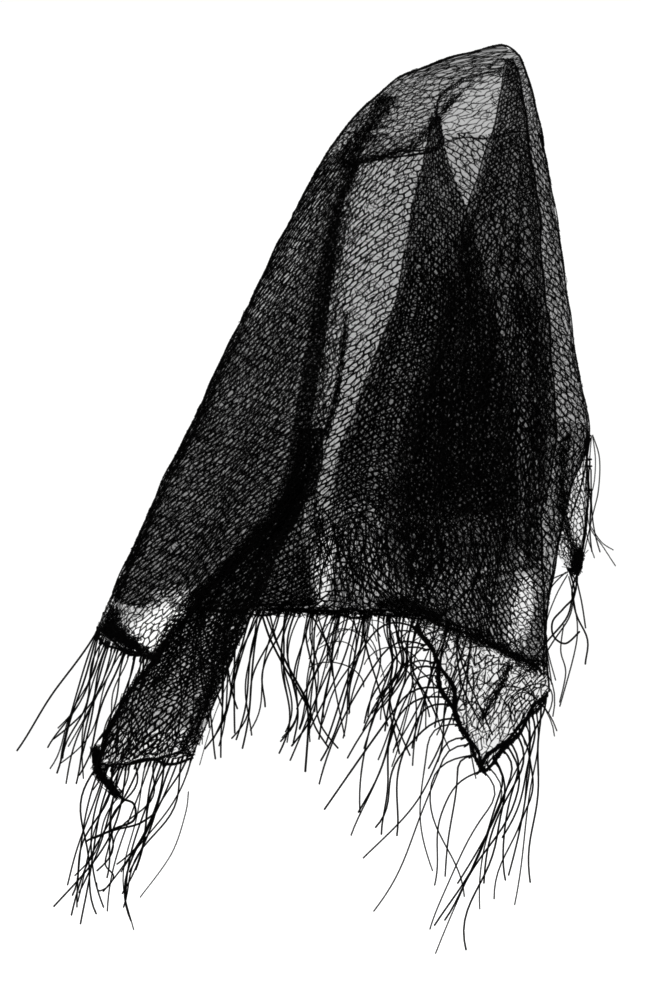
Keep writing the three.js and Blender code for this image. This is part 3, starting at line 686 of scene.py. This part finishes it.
def knit_bars(strands, place, square, radius, bars, bow):
    """The short bars from each row to the next, straight if there is no bow."""
    a, b, facing = place[:-1][bars], place[1:][bars], square[:-1][bars]
    thick = radius[:-1][bars][:, None]
    points = [a, b]
    if bow is not None:
        points = [a, (a + b) / 2 + np.cross(facing, b - a) * bow[:-1][bars][:, None], b]
        thick = thick * BAR_SHAPE
    facing = np.repeat(facing[:, None], len(points), axis=1)
    strands.add(np.stack(points, axis=1), thick, NET_SIDES, facing)


def painted_shade(stretch, look):
    """The painted shade of a stretch: a see-through dark sheet on its middle surfaces that greys the holes,
    with its thin parts.
    """
    points, faces, thin = [], [], []
    for member in look["fibres"]:
        surface = SURFACES[member]
        _, levels, along, length = flat_grid(surface)
        columns = max(int(along[:, -1].max() / PAINTED_SHADE_CELL), 4)
        rows = max(int(length / PAINTED_SHADE_CELL), 4)
        across, down = np.meshgrid(np.linspace(0, 1, columns + 1), np.linspace(0, 1, rows + 1))
        grid = surface(across, down)
        row, column = np.mgrid[:rows, :columns]
        corner = len(points) + row * (columns + 1) + column
        squares = np.stack([corner, corner + 1, corner + columns + 2, corner + columns + 1], axis=-1)
        points.extend(grid.reshape(-1, 3).tolist())
        grid = grid[:-1, :-1]
        thinned = (row + 0.5) / rows > look.get("thin_from", 1)
        thinned |= in_thin_place(stretch, grid, THIN_RIM)
        thinned |= look.get("thin_front", False) & (grid[..., 1] < 0)
        kept = ~in_thin_place(stretch, grid, bare=True)
        faces.extend(squares[kept].tolist())
        thin.extend(thinned[kept].tolist())
    # The sheet is painted shade: its see-through black greys what is seen through the net's holes.
    mesh = bpy.data.meshes.new(stretch + "_painted_shade")
    mesh.from_pydata((np.array(points) * MM).tolist(), [], faces)
    mesh.materials.append(painted_shade_material(stretch + "_painted_shade", look["dark"]))
    mesh.materials.append(THIN_PAINTED_SHADE_MATERIAL)
    mesh.polygons.foreach_set("material_index", np.array(thin, int))
    return shown(stretch + "_painted_shade", mesh)


def fibres(strands, stretch, count, seed):
    """Short straight fibres that lie on a stretch in every direction, evenly over its area."""
    surface = SURFACES[stretch]
    chance = np.random.default_rng(SEED + 500 + seed)
    across, down = chance.random((2, 4 * count))
    if stretch == "crown":
        down = lerp(CROWN_BARE, 1, down)
    side, fall = tangents(surface, across, down)
    area = np.linalg.norm(np.cross(side, fall), axis=-1)
    kept = chance.random(4 * count) < area / np.quantile(area, CLOSEST)
    kept[kept] = np.arange(kept.sum()) < count
    across, down, side, fall = across[kept], down[kept], unit(side[kept]), unit(fall[kept])
    facing = unit(np.cross(side, fall))
    turn = chance.uniform(0, np.pi, len(across))[:, None]
    way = side * np.cos(turn) + fall * np.sin(turn)
    half = FIBRE_LENGTH / 2 * chance.uniform(*FIBRE_LENGTHS, len(across))[:, None]
    middle = surface(across, down) + facing * chance.normal(0, FIBRE_OFF, len(across))[:, None]
    paths = np.stack([middle - way * half, middle + way * half], axis=1)
    full = ~in_thin_place(stretch, middle)
    strands.add(paths[full], FIBRE_RADIUS, 3, np.repeat(facing[full][:, None], 2, axis=1))


def matt_material(name, roughness, gloss):
    """A new material and its shader."""
    material = bpy.data.materials.new(name)
    material.use_nodes = True
    shader = material.node_tree.nodes["Principled BSDF"]
    shader.inputs["Roughness"].default_value = roughness
    shader.inputs["Specular IOR Level"].default_value = gloss
    return material, shader


def yarn_material(name, dark):
    """Matt black wool yarn: a fine twisted grain, a little uneven in tone."""
    material, shader = matt_material(name, YARN_ROUGHNESS, YARN_GLOSS)
    shader.inputs["Sheen Weight"].default_value = YARN_SHEEN
    nodes, links = material.node_tree.nodes, material.node_tree.links

    def added(kind, **values):
        node = nodes.new("ShaderNode" + kind)
        for socket, value in values.items():
            node.inputs[socket].default_value = value
        return node

    coordinate = added("TexCoord")
    grain = added("TexNoise", Scale=900, Detail=4)
    patch = added("TexNoise", Scale=38, Detail=3)
    mix = added("Mix", Factor=0.6)
    tones = added("ValToRGB")
    bump = added("Bump", Strength=0.5, Distance=0.0004)
    for stop, (position, tint) in zip(tones.color_ramp.elements, YARN_TONES):
        stop.position = position
        stop.color = (*[dark * part for part in tint], 1)
    links.new(coordinate.outputs["Object"], grain.inputs["Vector"])
    links.new(coordinate.outputs["Object"], patch.inputs["Vector"])
    links.new(grain.outputs["Fac"], mix.inputs["A"])
    links.new(patch.outputs["Fac"], mix.inputs["B"])
    links.new(mix.outputs["Result"], tones.inputs["Fac"])
    links.new(tones.outputs["Color"], shader.inputs["Base Color"])
    links.new(grain.outputs["Fac"], bump.inputs["Height"])
    links.new(bump.outputs["Normal"], shader.inputs["Normal"])
    return material


def painted_shade_material(name, dark):
    """Painted shade: a see-through black that darkens what is seen through the holes of the net."""
    material, shader = matt_material(name, 1, 0)
    shader.inputs["Base Color"].default_value = PAINTED_SHADE_COLOUR
    shader.inputs["Alpha"].default_value = dark
    return material


# The thinner painted shade, for the thin parts of a sheet.
THIN_PAINTED_SHADE_MATERIAL = painted_shade_material("thin_painted_shade", THIN_PAINTED_SHADE)
YARN = yarn_material("black_yarn", 0.006)
FRINGE_YARN = yarn_material("black_fringe_yarn", 0.005)


def smooth_path(points, steps=8):
    """A smooth line through these points."""
    p = np.array([points[0], *points, points[-1]], float)
    t = np.linspace(0, 1, steps, endpoint=False)[:, None]
    line = []
    for a, b, c, d in zip(p, p[1:], p[2:], p[3:]):
        line.append(
            0.5 * (2 * b + (c - a) * t + (2 * a - 5 * b + 4 * c - d) * t**2 + (3 * b - a - 3 * c + d) * t**3)
        )
    return np.concatenate([*line, p[-1:]])


def points_at(at, length, path):
    """The points of a path at these lengths along it."""
    return np.stack([np.interp(at, length, path[:, i]) for i in range(3)], axis=-1)


def resample(path, step):
    """The points of a path at an even step, and their lengths along it."""
    length = lengths(path)
    at = np.linspace(0, length[-1], max(int(length[-1] / step), 4))
    return points_at(at, length, path), at


PLIES = 3
CORD_STEP = 2.2
CORD_SIDES = 4
CORD_FACING = (0.13, 1, 0.07)
STRAND_RADIUS = 0.66
STRAND_SIDES = 4
STRAND_STEPS = 20
STRAND_FACING = np.array([0.2, 1, 0])
STRAND_TAPER = (1.05, 0.95)
# How much strands differ: the least and the most, as a share.
STRAND_LENGTHS = (0.7, 1.15)
STRAND_TURNS = (0.6, 1.4)
STRAND_PERIODS = (0.7, 1.6)
STRAND_THICKNESSES = (0.8, 1.25)
PITCH_SCATTER = 0.3
CLUMP = 31  # from one bunch of strands to the next where they bunch
FULL_TURN = 6.3
HEM_END = 0.99  # the share of the hem where its strands end
KNOT_STEPS = (-1.5, 1.5, 5, 7)  # the knot's points, by how far out from the hem they lie
KNOT_RADII = np.array([0.6, 1.15, 1.0, 0.6])
KNOT_SIDES = 5
STRAND_START = 3  # how far out from the hem a strand leaves its knot

# The two cords of each hem: how far out they lie, how thick a ply is beside the table's, and their twist.
HEM_CORDS = table("off thickness twist seed", (1.2, 1, 9, 0), (-1.8, 0.9, 8, 40))


def rope(strands, path, apart, ply_radius, wander, twist, seed):
    """A twisted cord along a path: its plies run round its middle line, and it wanders and swells.

    The waves have several lengths, in millimetres, so that no two parts are alike.
    """
    chance = np.random.default_rng(SEED + seed)
    middle, at = resample(path, CORD_STEP)
    way = unit(np.gradient(middle, axis=0))
    out = unit(np.cross(way, CORD_FACING))
    third = np.cross(way, out)
    drift = np.sin(at / 19 + 2.3 * seed) + 0.7 * np.sin(at / 8.3 + seed)
    middle = middle + out * (wander * drift)[:, None] + third * (0.4 * wander * np.sin(at / 13))[:, None]
    lumps = 1 + 0.35 * np.sin(at / 11 + seed) + 0.25 * chance.standard_normal(len(at))
    swells = (1 + 0.25 * np.sin(at / 17 + 3 * seed)).clip(0.6, 1.5)
    for ply in range(PLIES):
        turn = at / twist * 2 * np.pi + ply * 2 * np.pi / PLIES
        off = apart * lumps[:, None]
        line = middle + off * (out * np.cos(turn)[:, None] + third * np.sin(turn)[:, None])
        radii = ply_radius * swells * (1 + 0.15 * chance.standard_normal(len(at))).clip(0.6, 1.4)
        strands.add(line, radii, CORD_SIDES, third)


def strand_path(root, outward, look, lean, chance):
    """One fringe strand: it leaves the hem outward, turns to its fall, and waves a little."""
    length = look["length"] * chance.uniform(*STRAND_LENGTHS)
    lean = lean + chance.normal(0, look["scatter"])
    fall = unit(np.array([lean, chance.normal(0, 0.05), -1]))
    turn = look["turn"] * chance.uniform(*STRAND_TURNS)
    wave = chance.normal(0, look["wave"])
    curl = chance.normal(0, look["curl"])
    period = chance.uniform(*STRAND_PERIODS)
    phase = chance.uniform(0, 2 * np.pi)
    place = np.array(root, float)
    path = [place]
    for i in range(STRAND_STEPS):
        share = (i + 0.5) / STRAND_STEPS
        way = unit(lerp(outward, fall, smooth(share / turn)))
        sway = wave * math.sin(period * share * 2 * np.pi + phase) + curl * share**2
        way = unit(way + np.array([1, 0.25, 0]) * sway)
        place = place + way * length / STRAND_STEPS
        path.append(place)
    path = np.array(path)
    for x, drop, reach, tall, strength in look["bundles"]:
        near = np.exp(-(((root[0] - x) / reach) ** 2)) * np.exp(-(((-path[:, 2] - drop) / tall) ** 2))
        path[1:, 0] += (strength * near * (x - path[:, 0]))[1:]
    return path


def fringe(strands, look, seed):
    """Strands along a hem, each from its own knot."""
    chance = np.random.default_rng(SEED + 31 * seed)
    line, outwards = look["hem"]
    length = lengths(line)
    start, end = look["start"] * length[-1], HEM_END * length[-1]
    count = max(int((end - start) / look["pitch"]), 2)
    for i in range(count + 1):
        at = lerp(start, end, i / count) + chance.normal(0, look["pitch"] * PITCH_SCATTER)
        at += look["clump"] * CLUMP / FULL_TURN * math.sin(FULL_TURN * at / CLUMP + seed)
        at = min(max(at, start), end)
        outward = unit(points_at(at, length, outwards))
        root = points_at(at, length, line) - outward * look["stagger"] * chance.random()
        knot = [root + outward * step for step in KNOT_STEPS]
        strands.add(knot, KNOT_RADII * look["knot"], KNOT_SIDES, STRAND_FACING)
        lifted = unit(outward + np.array([0, 0, look["lift"]]))
        lean = lerp(*look["lean"], i / count)
        path = strand_path(root + outward * STRAND_START, lifted, look, lean, chance)
        taper = np.linspace(*STRAND_TAPER, len(path))
        radii = STRAND_RADIUS * taper * chance.uniform(*STRAND_THICKNESSES)
        strands.add(path, radii, STRAND_SIDES, STRAND_FACING)


HEM_POINTS = 80
SIDE_POINTS = 60
NEAR_HEM = 0.97
SIDES = dict(left=(0.0, 0.03), right=(1.0, 0.97))  # each edge and the line next to it, as shares


def lower_edge(stretch, first=0.0, last=1.0):
    """The hem of a stretch between two shares of its width, and the way out from it."""
    across = np.linspace(first, last, HEM_POINTS)
    line = SURFACES[stretch](across, np.ones(HEM_POINTS))
    return line, unit(line - SURFACES[stretch](across, np.full(HEM_POINTS, NEAR_HEM)))


def side_edge(stretch, side, first, last):
    """An edge of a stretch between two shares of its height, and the way out from it."""
    down = np.linspace(first, last, SIDE_POINTS)
    line, near = [SURFACES[stretch](np.full(SIDE_POINTS, share), down) for share in SIDES[side]]
    return line, unit(line - near)


# Each fringe: its hem; pitch, from strand to strand; their length; lean, how far they lean to the right for
# each unit of fall at the hem's start and end, and scatter, how much that changes; turn, the share in
# which a strand turns to its fall; how far it waves and curls; and the hem's cord, as in EDGE_CORDS. Start
# is the share of the hem where the strands begin, clump how far they bunch, knot the size of a knot,
# stagger how far above the hem a strand may start, and lift how far up it leaves the hem. A bundle draws
# strands together: its x and drop, how far to the sides and how far up and down it reaches, and how
# strongly it draws.
FRINGES = {
    "fringe_back": dict(
        hem=lower_edge("back", 0, 0.72), pitch=4.4, length=142, lean=(-0.1, -0.16), scatter=0.24,
        turn=0.3, start=0.28, clump=0.8, curl=0.2, wave=0.12, cord=(0.6, 0.8, 2.2),
        bundles=((-196, 668, 30, 40, 0.7), (-96, 614, 24, 26, 0.8), (-280, 640, 26, 60, 0.5)),
    ),
    "fringe_front_left": dict(
        hem=lower_edge("front_left", 0.02), pitch=4.7, length=130, lean=(-0.42, -0.24), scatter=0.3,
        wave=0.2, clump=0.5, cord=(0.75, 0.9, 1.8),
    ),
    "fringe_inner": dict(
        hem=lower_edge("inner_fold"), pitch=4.4, length=85, lean=(0.1, -0.3), scatter=0.5, wave=0.4,
        curl=0.5, knot=0.3, stagger=26, cord=(0.12, 0.6, 5.0), bundles=((-95, 555, 60, 26, 0.5),),
    ),
    "fringe_corner_left": dict(
        hem=side_edge("front_right", "left", CORNER_ROW / (len(FRONT_RIGHT) - 1), 1), pitch=9.4,
        length=178, lean=(-0.5, -0.36), scatter=0.2, turn=0.27, wave=0.28, curl=0.35, lift=0.5,
        cord=(1.2, 1.5, 3.2),
    ),
    "fringe_corner_right": dict(
        hem=lower_edge("front_right"), pitch=7.4, length=178, lean=(-0.56, -0.12), scatter=0.13,
        turn=0.26, wave=0.2, lift=0.5, cord=(1.0, 1.2, 2.6),
    ),
    "fringe_tail_left": dict(
        hem=lower_edge("tail_left"), pitch=5.0, length=148, lean=(-0.06, -0.56), scatter=0.14,
        turn=0.6, wave=0.2, cord=(0.6, 0.7, 2.4),
    ),
    "fringe_tail_right": dict(
        hem=lower_edge("tail_right"), pitch=5.0, length=112, lean=(-0.2, 0.02), scatter=0.16,
        turn=0.2, wave=0.3, curl=0.3, cord=(0.9, 0.9, 0.6), bundles=((70, 560, 30, 20, 0.5),),
    ),
    "fringe_right_edge": dict(
        hem=side_edge("tail_right", "right", 0.1, 0.5), pitch=20, length=80, lean=(-0.1, 0.02),
        scatter=0.06, turn=0.04, curl=0.15, cord=(0.35, 0.4, 0.6),
    ),
}
FRINGE_DEFAULTS = dict(
    turn=0.4, wave=0.16, curl=0.25, start=0.01, clump=0, knot=1, stagger=0, lift=0, bundles=()
)


def front_line(points, out=0):
    """A line on the front of the worn form through points of x and drop."""
    path = smooth_path([(x, 0, -drop) for x, drop in points])
    return form_point(front_angle(path[:, 0], -path[:, 2]), -path[:, 2], out)


def back_line(points):
    """A line on the back of the worn form through points of x and drop."""
    path = smooth_path([(x, 0, -drop) for x, drop in points])
    return form_point(360 - front_angle(path[:, 0], -path[:, 2]), -path[:, 2])


def free_line(points, y):
    """A line through points of x and drop in the plane of this y."""
    return smooth_path([(x, y, -drop) for x, drop in points])


def outline(first, last, side, step=5):
    """A side fold of the worn form, from one drop to another."""
    drop = np.arange(first, last, step, dtype=float)
    return np.stack([read(FORM, "drop", drop)[side], 0 * drop, -drop], axis=1)


# The rolled edge along the top of the crown, over its peak.
CROWN_ROLL = np.concatenate(
    [outline(2, 118, "left")[::-1], [[-14, 0, 3], [-4, 0, 5], [4, 0, 3.5]], outline(1, 98, "right")]
)

# The uneven rolled edge of the crown in front, from under the peak down to the left.
CROWN_FLAP = front_line(
    [(-5, 22), (-37, 30), (-50, 40), (-67, 54), (-71, 76), (-64, 94), (-81, 102), (-123, 110), (-152, 117)], 1
)

# Cords along edges and seams: their node, the radius of a ply, how far the plies lie apart, how far the
# cord wanders, and its path.
EDGE_CORDS = table(
    "node ply apart wander path",
    ("crown", 0.55, 0.5, 0.5, CROWN_ROLL),
    ("crown", 0.45, 1.5, 1.6, CROWN_FLAP),
    ("back_panel", 0.42, 0.4, 0.7, outline(118, 548, "left")),
    ("back_panel", 0.35, 0.4, 0.6, outline(84, 600, "right")),
    ("back_panel", 0.35, 0.9, 1.6, back_line(
        [(-130, 107), (-100, 102), (-75, 98), (-64, 88), (-40, 86), (-22, 87), (10, 80), (30, 76)]
    )),
    ("front_right", 0.5, 0.6, 0.9, side_edge("front_right", "right", 0, 0.98)[0]),
    ("front_right", 0.3, 0.4, 0.8, side_edge("front_right", "left", 0, 0.36)[0]),
    ("tail_left", 0.7, 1.0, 1.2, side_edge("tail_left", "left", 0.45, 1)[0]),
    ("tail_left", 0.4, 0.5, 0.8, side_edge("tail_left", "right", 0.4, 1)[0]),
    ("tail_right", 0.4, 0.5, 0.5, side_edge("tail_right", "right", 0.1, 1)[0]),
)

# Gathers, where the wool lies so close that its cells can't be seen: their width, how many fibres they
# have, how far these turn from the path, and the path.
GATHERS = table(
    "node width count spread path",
    ("crown", 15, 480, 0.45, front_line([(-115, 46), (-129, 68), (-146, 94), (-159, 117)], 1.5)),
    ("front_left", 17, 900, 0.45, front_line(
        [(-150, 119), (-161, 150), (-170, 203), (-176, 273), (-184, 340), (-193, 400)], 1.5
    )),
    ("front_left", 22, 420, 0.45, front_line(
        [(-206, 420), (-228, 462), (-268, 508), (-310, 552), (-340, 596)], 1.5
    )),
    ("crown", 6, 260, 0.45, crown_surface(np.linspace(0.60, 0.76, 60), np.ones(60))),
    ("back_panel", 11, 260, 0.45, back_line([(-190, 395), (-192, 440), (-190, 480), (-188, 510)])),
    ("back_panel", 4, 260, 0.45, back_line([(-158, 262), (-164, 310), (-170, 350), (-180, 386)])),
    ("back_panel", 14, 620, 0.7, free_line([(-126, 555), (-96, 559), (-60, 571)], 100)),
    ("front_left", 15, 700, 0.9, front_line([(-390, 554), (-395, 570), (-385, 582), (-366, 595)], 1.5)),
    ("front_left", 7, 480, 0.45, front_line([(-403, 578), (-375, 591), (-346, 606)], 1.5)),
    ("back_panel", 7, 420, 0.45, back_line([(-254, 560), (-200, 563), (-120, 563)])),
    ("back_panel", 11, 560, 0.45, back_line([(-62, 572), (-38, 587), (-5, 598), (20, 612), (34, 620)])),
    ("front_right", 14, 900, 0.45, free_line(
        [(16, 240), (28, 300), (30, 360), (26, 420), (22, 470), (24, 520)], -66
    )),
    ("front_right", 4, 150, 0.45, free_line([(4, 610), (-8, 636), (-26, 668)], -94)),
    ("tail_left", 5, 420, 0.2, side_edge("tail_left", "left", 0.5, 1)[0]),
    ("tail_left", 11, 520, 0.6, side_edge("tail_left", "right", 0.55, 0.97)[0] - [11, 1, 0]),
    ("tail_left", 5, 420, 0.15, free_line([(-408, 696), (-407, 714), (-399, 729), (-384, 744)], -52)),
    ("tail_right", 7, 420, 0.45, free_line([(60, 385), (55, 420), (57, 460), (66, 500), (70, 520)], -42)),
    ("tail_right", 6, 200, 0.45, free_line([(74, 498), (72, 510), (69, 524)], -22)),
)
GATHER_RADIUS = 0.38
GATHER_HALF_LENGTH = (2.5, 6)
GATHER_DEPTH = 0.8
GATHER_EDGE = 2.4  # a gather's width is so many times the scatter of its fibres
OUTLINE_MARGIN = 5  # no gathered fibre starts nearer than this to the left outline

# Strands that lie apart from the rest, as they are seen from the front: thickness, y and points.
LOOSE_STRANDS = {
    "fringe_tail_left": [
        (1.5, -54, [(-398, 728), (-384, 745), (-370, 752), (-370, 768), (-388, 776), (-410, 786)]),
        (1.3, -55, [(-350, 762), (-366, 772), (-390, 778), (-412, 786), (-418, 790)]),
        (1.0, -56, [
            (-390, 776), (-395, 795), (-398, 812), (-390, 823), (-396, 834), (-405, 838), (-407, 830),
        ]),
        (0.7, -92, [(-315, 738), (-318, 760), (-332, 800), (-363, 843)]),
        (0.5, -96, [(-262, 570), (-280, 610), (-298, 660), (-309, 700)]),
        (0.5, -97, [(-258, 580), (-272, 620), (-290, 665), (-304, 712)]),
    ],
    "fringe_back": [
        (1.4, 118, [(-244, 566), (-236, 590), (-222, 618), (-206, 645), (-197, 668), (-200, 726)]),
        (1.2, 117, [(-240, 566), (-230, 592), (-216, 622), (-201, 650), (-195, 672), (-214, 700)]),
        (1.1, 116, [(-236, 566), (-228, 596), (-212, 628), (-198, 654), (-190, 680), (-176, 702)]),
        (1.1, 120, [(-194, 566), (-184, 584), (-177, 600), (-172, 629)]),
        (0.9, 119, [(-188, 566), (-180, 590), (-174, 606), (-170, 640), (-160, 690)]),
        (1.1, 100, [(-112, 570), (-104, 592), (-96, 614), (-104, 636), (-122, 660)]),
        (1.0, 99, [(-72, 590), (-84, 602), (-96, 614), (-112, 632), (-126, 652)]),
        (0.9, 98, [(-128, 652), (-110, 630), (-96, 614), (-80, 626), (-66, 640)]),
    ],
    "fringe_tail_right": [
        (1.2, -24, [(64, 522), (69, 544), (58, 558), (47, 571), (48, 586), (60, 593), (74, 581)]),
        (0.8, -25, [(60, 522), (44, 540), (38, 570), (46, 634)]),
        (0.7, -26, [(62, 524), (50, 546), (40, 575), (42, 600), (50, 630)]),
        (0.8, -24, [(63, 526), (68, 550), (71, 590), (54, 656)]),
        (0.8, -23, [(58, 574), (55, 600), (60, 622), (54, 652)]),
        (0.7, -26, [(62, 522), (48, 528), (34, 537)]),
        (0.9, -22, [(70, 526), (76, 552), (80, 578)]),
    ],
    "fringe_right_edge": [
        (0.7, -14, [(87, 385), (94, 408), (93, 440), (87, 466), (76, 514)]),
        (0.6, -15, [(87, 385), (90, 410), (88, 436), (82, 452), (80, 480), (75, 512)]),
        (0.6, -16, [(86, 386), (84, 412), (83, 436), (82, 450), (80, 478), (89, 508)]),
        (0.6, -17, [(86, 387), (78, 412), (78, 434), (81, 450), (84, 476), (97, 496), (110, 516)]),
        (0.6, -18, [(85, 388), (72, 412), (73, 432), (79, 448), (80, 476), (74, 510)]),
        (0.6, -19, [(84, 389), (67, 414), (68, 432), (77, 450), (79, 478), (72, 506)]),
        (0.7, -20, [(83, 390), (62, 412), (57, 432), (62, 446), (74, 462), (78, 484), (73, 514)]),
        (0.6, -15, [(85, 476), (96, 492), (108, 500)]),
    ],
}

# Tangles of strands: the spans of x and drop where they start, their y, how many they are, and the spans of
# how wide and high they arch.
TANGLES = table(
    "fringe x drop y count wide high",
    ("fringe_inner", (-168, -60), (500, 566), -24, 44, (8, 34), (30, 85)),
    ("fringe_inner", (-190, -150), (530, 566), -22, 16, (6, 16), (30, 80)),
    ("fringe_back", (-190, -80), (590, 640), 112, 16, (12, 34), (20, 60)),
    ("fringe_corner_right", (-62, 30), (640, 690), -96, 12, (16, 42), (20, 60)),
)


def dress(piece, slot, *nodes):
    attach(piece, "root")
    if nodes:
        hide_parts(*nodes)
    return piece


def edge_cords(strands, node):
    for seed, cord in enumerate(EDGE_CORDS):
        if cord["node"] == node:
            rope(strands, cord["path"], cord["apart"], cord["ply"], cord["wander"], 8, 100 + 10 * seed)


def gathers(strands, node):
    """Fibres that lie close together along a path, thickest at its middle."""
    for seed, look in enumerate(GATHERS):
        if look["node"] == node:
            chance = np.random.default_rng(SEED + 800 + seed)
            path, _ = resample(look["path"], 2)
            at = chance.integers(1, len(path) - 1, look["count"])
            way = unit(path[at + 1] - path[at - 1])
            aside = np.cross(way, [0.0, 1.0, 0.0])
            middle = path[at] + aside * chance.normal(0, look["width"] / GATHER_EDGE, len(at))[:, None]
            middle[:, 1] += chance.normal(0, GATHER_DEPTH, len(at))
            way = unit(way + chance.normal(0, look["spread"], way.shape))
            half = chance.uniform(*GATHER_HALF_LENGTH, len(at))[:, None]
            ends = np.stack([middle - way * half, middle + way * half], axis=1)
            ends = ends[middle[:, 0] > read(FORM, "drop", -middle[:, 2])["left"] + OUTLINE_MARGIN]
            strands.add(ends, GATHER_RADIUS, 3, np.broadcast_to(STRAND_FACING, ends.shape))


def loose_strands(strands, name):
    """The strands of a fringe that are placed one by one, with a slight wave in depth."""
    for seed, (thick, y, points) in enumerate(LOOSE_STRANDS.get(name, ())):
        path = free_line(points, y)
        path[:, 1] += 2 * np.sin(np.arange(len(path)) / 7 + seed)
        strands.add(path, STRAND_RADIUS * thick, 4, STRAND_FACING)


def tangles(strands, name):
    """Strands that rise, arch over and fall again."""
    for seed, look in enumerate(TANGLES):
        if look["fringe"] == name:
            chance = np.random.default_rng(SEED + 900 + seed)
            for _ in range(look["count"]):
                x, drop = chance.uniform(*look["x"]), chance.uniform(*look["drop"])
                wide, high = chance.uniform(*look["wide"]), chance.uniform(*look["high"])
                turn = np.linspace(chance.uniform(-0.3, 0.5), chance.uniform(2.2, 3.4), 14)
                lean = chance.normal(0, 0.25)
                up = high * np.sin(turn)
                depth = look["y"] + chance.normal(0, 4) + 0 * turn
                path = np.stack([x + wide * np.cos(turn) + lean * up, depth, up - drop], axis=1)
                strands.add(path, STRAND_RADIUS * chance.uniform(0.6, 0.95), 3, STRAND_FACING)


# The fringes, each with the two cords of its hem.
for index, (name, look) in enumerate(FRINGES.items()):
    look = {**FRINGE_DEFAULTS, **look}
    strands = Strands()
    line, outwards = look["hem"]
    ply, apart, wander = look["cord"]
    for cord in HEM_CORDS:
        path = line + outwards * cord["off"]
        rope(strands, path, apart, ply * cord["thickness"], wander, cord["twist"], index + cord["seed"])
    fringe(strands, look, index + 1)
    loose_strands(strands, name)
    tangles(strands, name)
    dress(strands.make(name + "_strands", FRINGE_YARN), "fringe_yarn", name)

strands = Strands()
fibres(strands, "back", STRETCHES["back"]["fibres"]["back"], 0)
dress(strands.make("back_fibres", YARN), "yarn")

# The nets, one piece for each stretch, each on its sheet of painted shade, which is also the sheet of cloth.
for index, (stretch, look) in enumerate(STRETCHES.items()):
    strands = Strands()
    for seed, net_look in enumerate(NETS):
        if net_look["stretch"] in look["fibres"]:
            net(strands, net_look, seed)
    for surface, count in look["fibres"].items():
        if surface != "back":
            fibres(strands, surface, count, index + 1)
    edge_cords(strands, look["node"])
    gathers(strands, look["node"])
    knitted_net = dress(strands.make(stretch + "_net", YARN), "yarn", look["node"])
    area, length, width = 0, 0, 0
    for surface in look["fibres"]:
        _, _, along, fall = flat_grid(SURFACES[surface])
        area += along[:, -1].mean() * fall
        width += along[:, -1].max()
        length = max(length, fall)
    dress(painted_shade(stretch, look), "yarn")


def stand(name, data, place, turn):
    """Puts a lamp or a camera into the scene."""
    thing = bpy.data.objects.new(name, data)
    thing.location = place
    thing.rotation_euler = turn
    bpy.context.scene.collection.objects.link(thing)
    return thing


# The lamps: their place in metres, with x from the middle of the view, their size and their power.
LAMPS = table(
    "name x y z size power",
    ("key", -1.6, -2.6, 1.2, 1.6, 90),
    ("fill", 2.2, -1.8, 0.2, 2.0, 40),
    ("rear", 0.6, 2.6, 1.4, 1.8, 60),
)
centre = (VIEW_CENTRE[0] * MM, 0, VIEW_CENTRE[1] * MM)
for lamp in LAMPS:
    light = bpy.data.lights.new(lamp["name"], "AREA")
    light.shape = "DISK"
    light.size = lamp["size"]
    light.energy = lamp["power"]
    place = (centre[0] + lamp["x"], lamp["y"], lamp["z"])
    stand(lamp["name"], light, place, (Vector(centre) - Vector(place)).to_track_quat("-Z", "Y").to_euler())

world = bpy.data.worlds.new("studio")
bpy.context.scene.world = world
world.use_nodes = True
sky = world.node_tree.nodes["Background"]
sky.inputs["Color"].default_value = (1, 1, 1, 1)
sky.inputs["Strength"].default_value = SKY_STRENGTH

floor_place = (centre[0], 0, -FLOOR_DROP * MM)
bpy.ops.mesh.primitive_circle_add(vertices=96, radius=FLOOR_RADIUS, fill_type="NGON", location=floor_place)
floor = bpy.context.object
floor.name = "floor"
white, shader = matt_material("floor_white", 0.9, 0.5)
shader.inputs["Base Color"].default_value = FLOOR_COLOUR
shader.inputs["Emission Color"].default_value = (1, 1, 1, 1)
shader.inputs["Emission Strength"].default_value = FLOOR_GLOW
floor.data.materials.append(white)

camera_data = bpy.data.cameras.new("camera")
camera_data.sensor_width = SENSOR
camera_data.lens = SENSOR * CAMERA_DISTANCE / VIEW_HEIGHT
camera_data.clip_end = 100
camera_place = (centre[0], -CAMERA_DISTANCE * MM, centre[2])
camera = stand("camera", camera_data, camera_place, (math.radians(90), 0, 0))
bpy.context.scene.camera = camera
bpy.context.scene.view_settings.view_transform = "Standard"
bpy.context.scene.view_settings.gamma = VIEW_GAMMA
bpy.context.scene.cycles.filter_width = PIXEL_FILTER
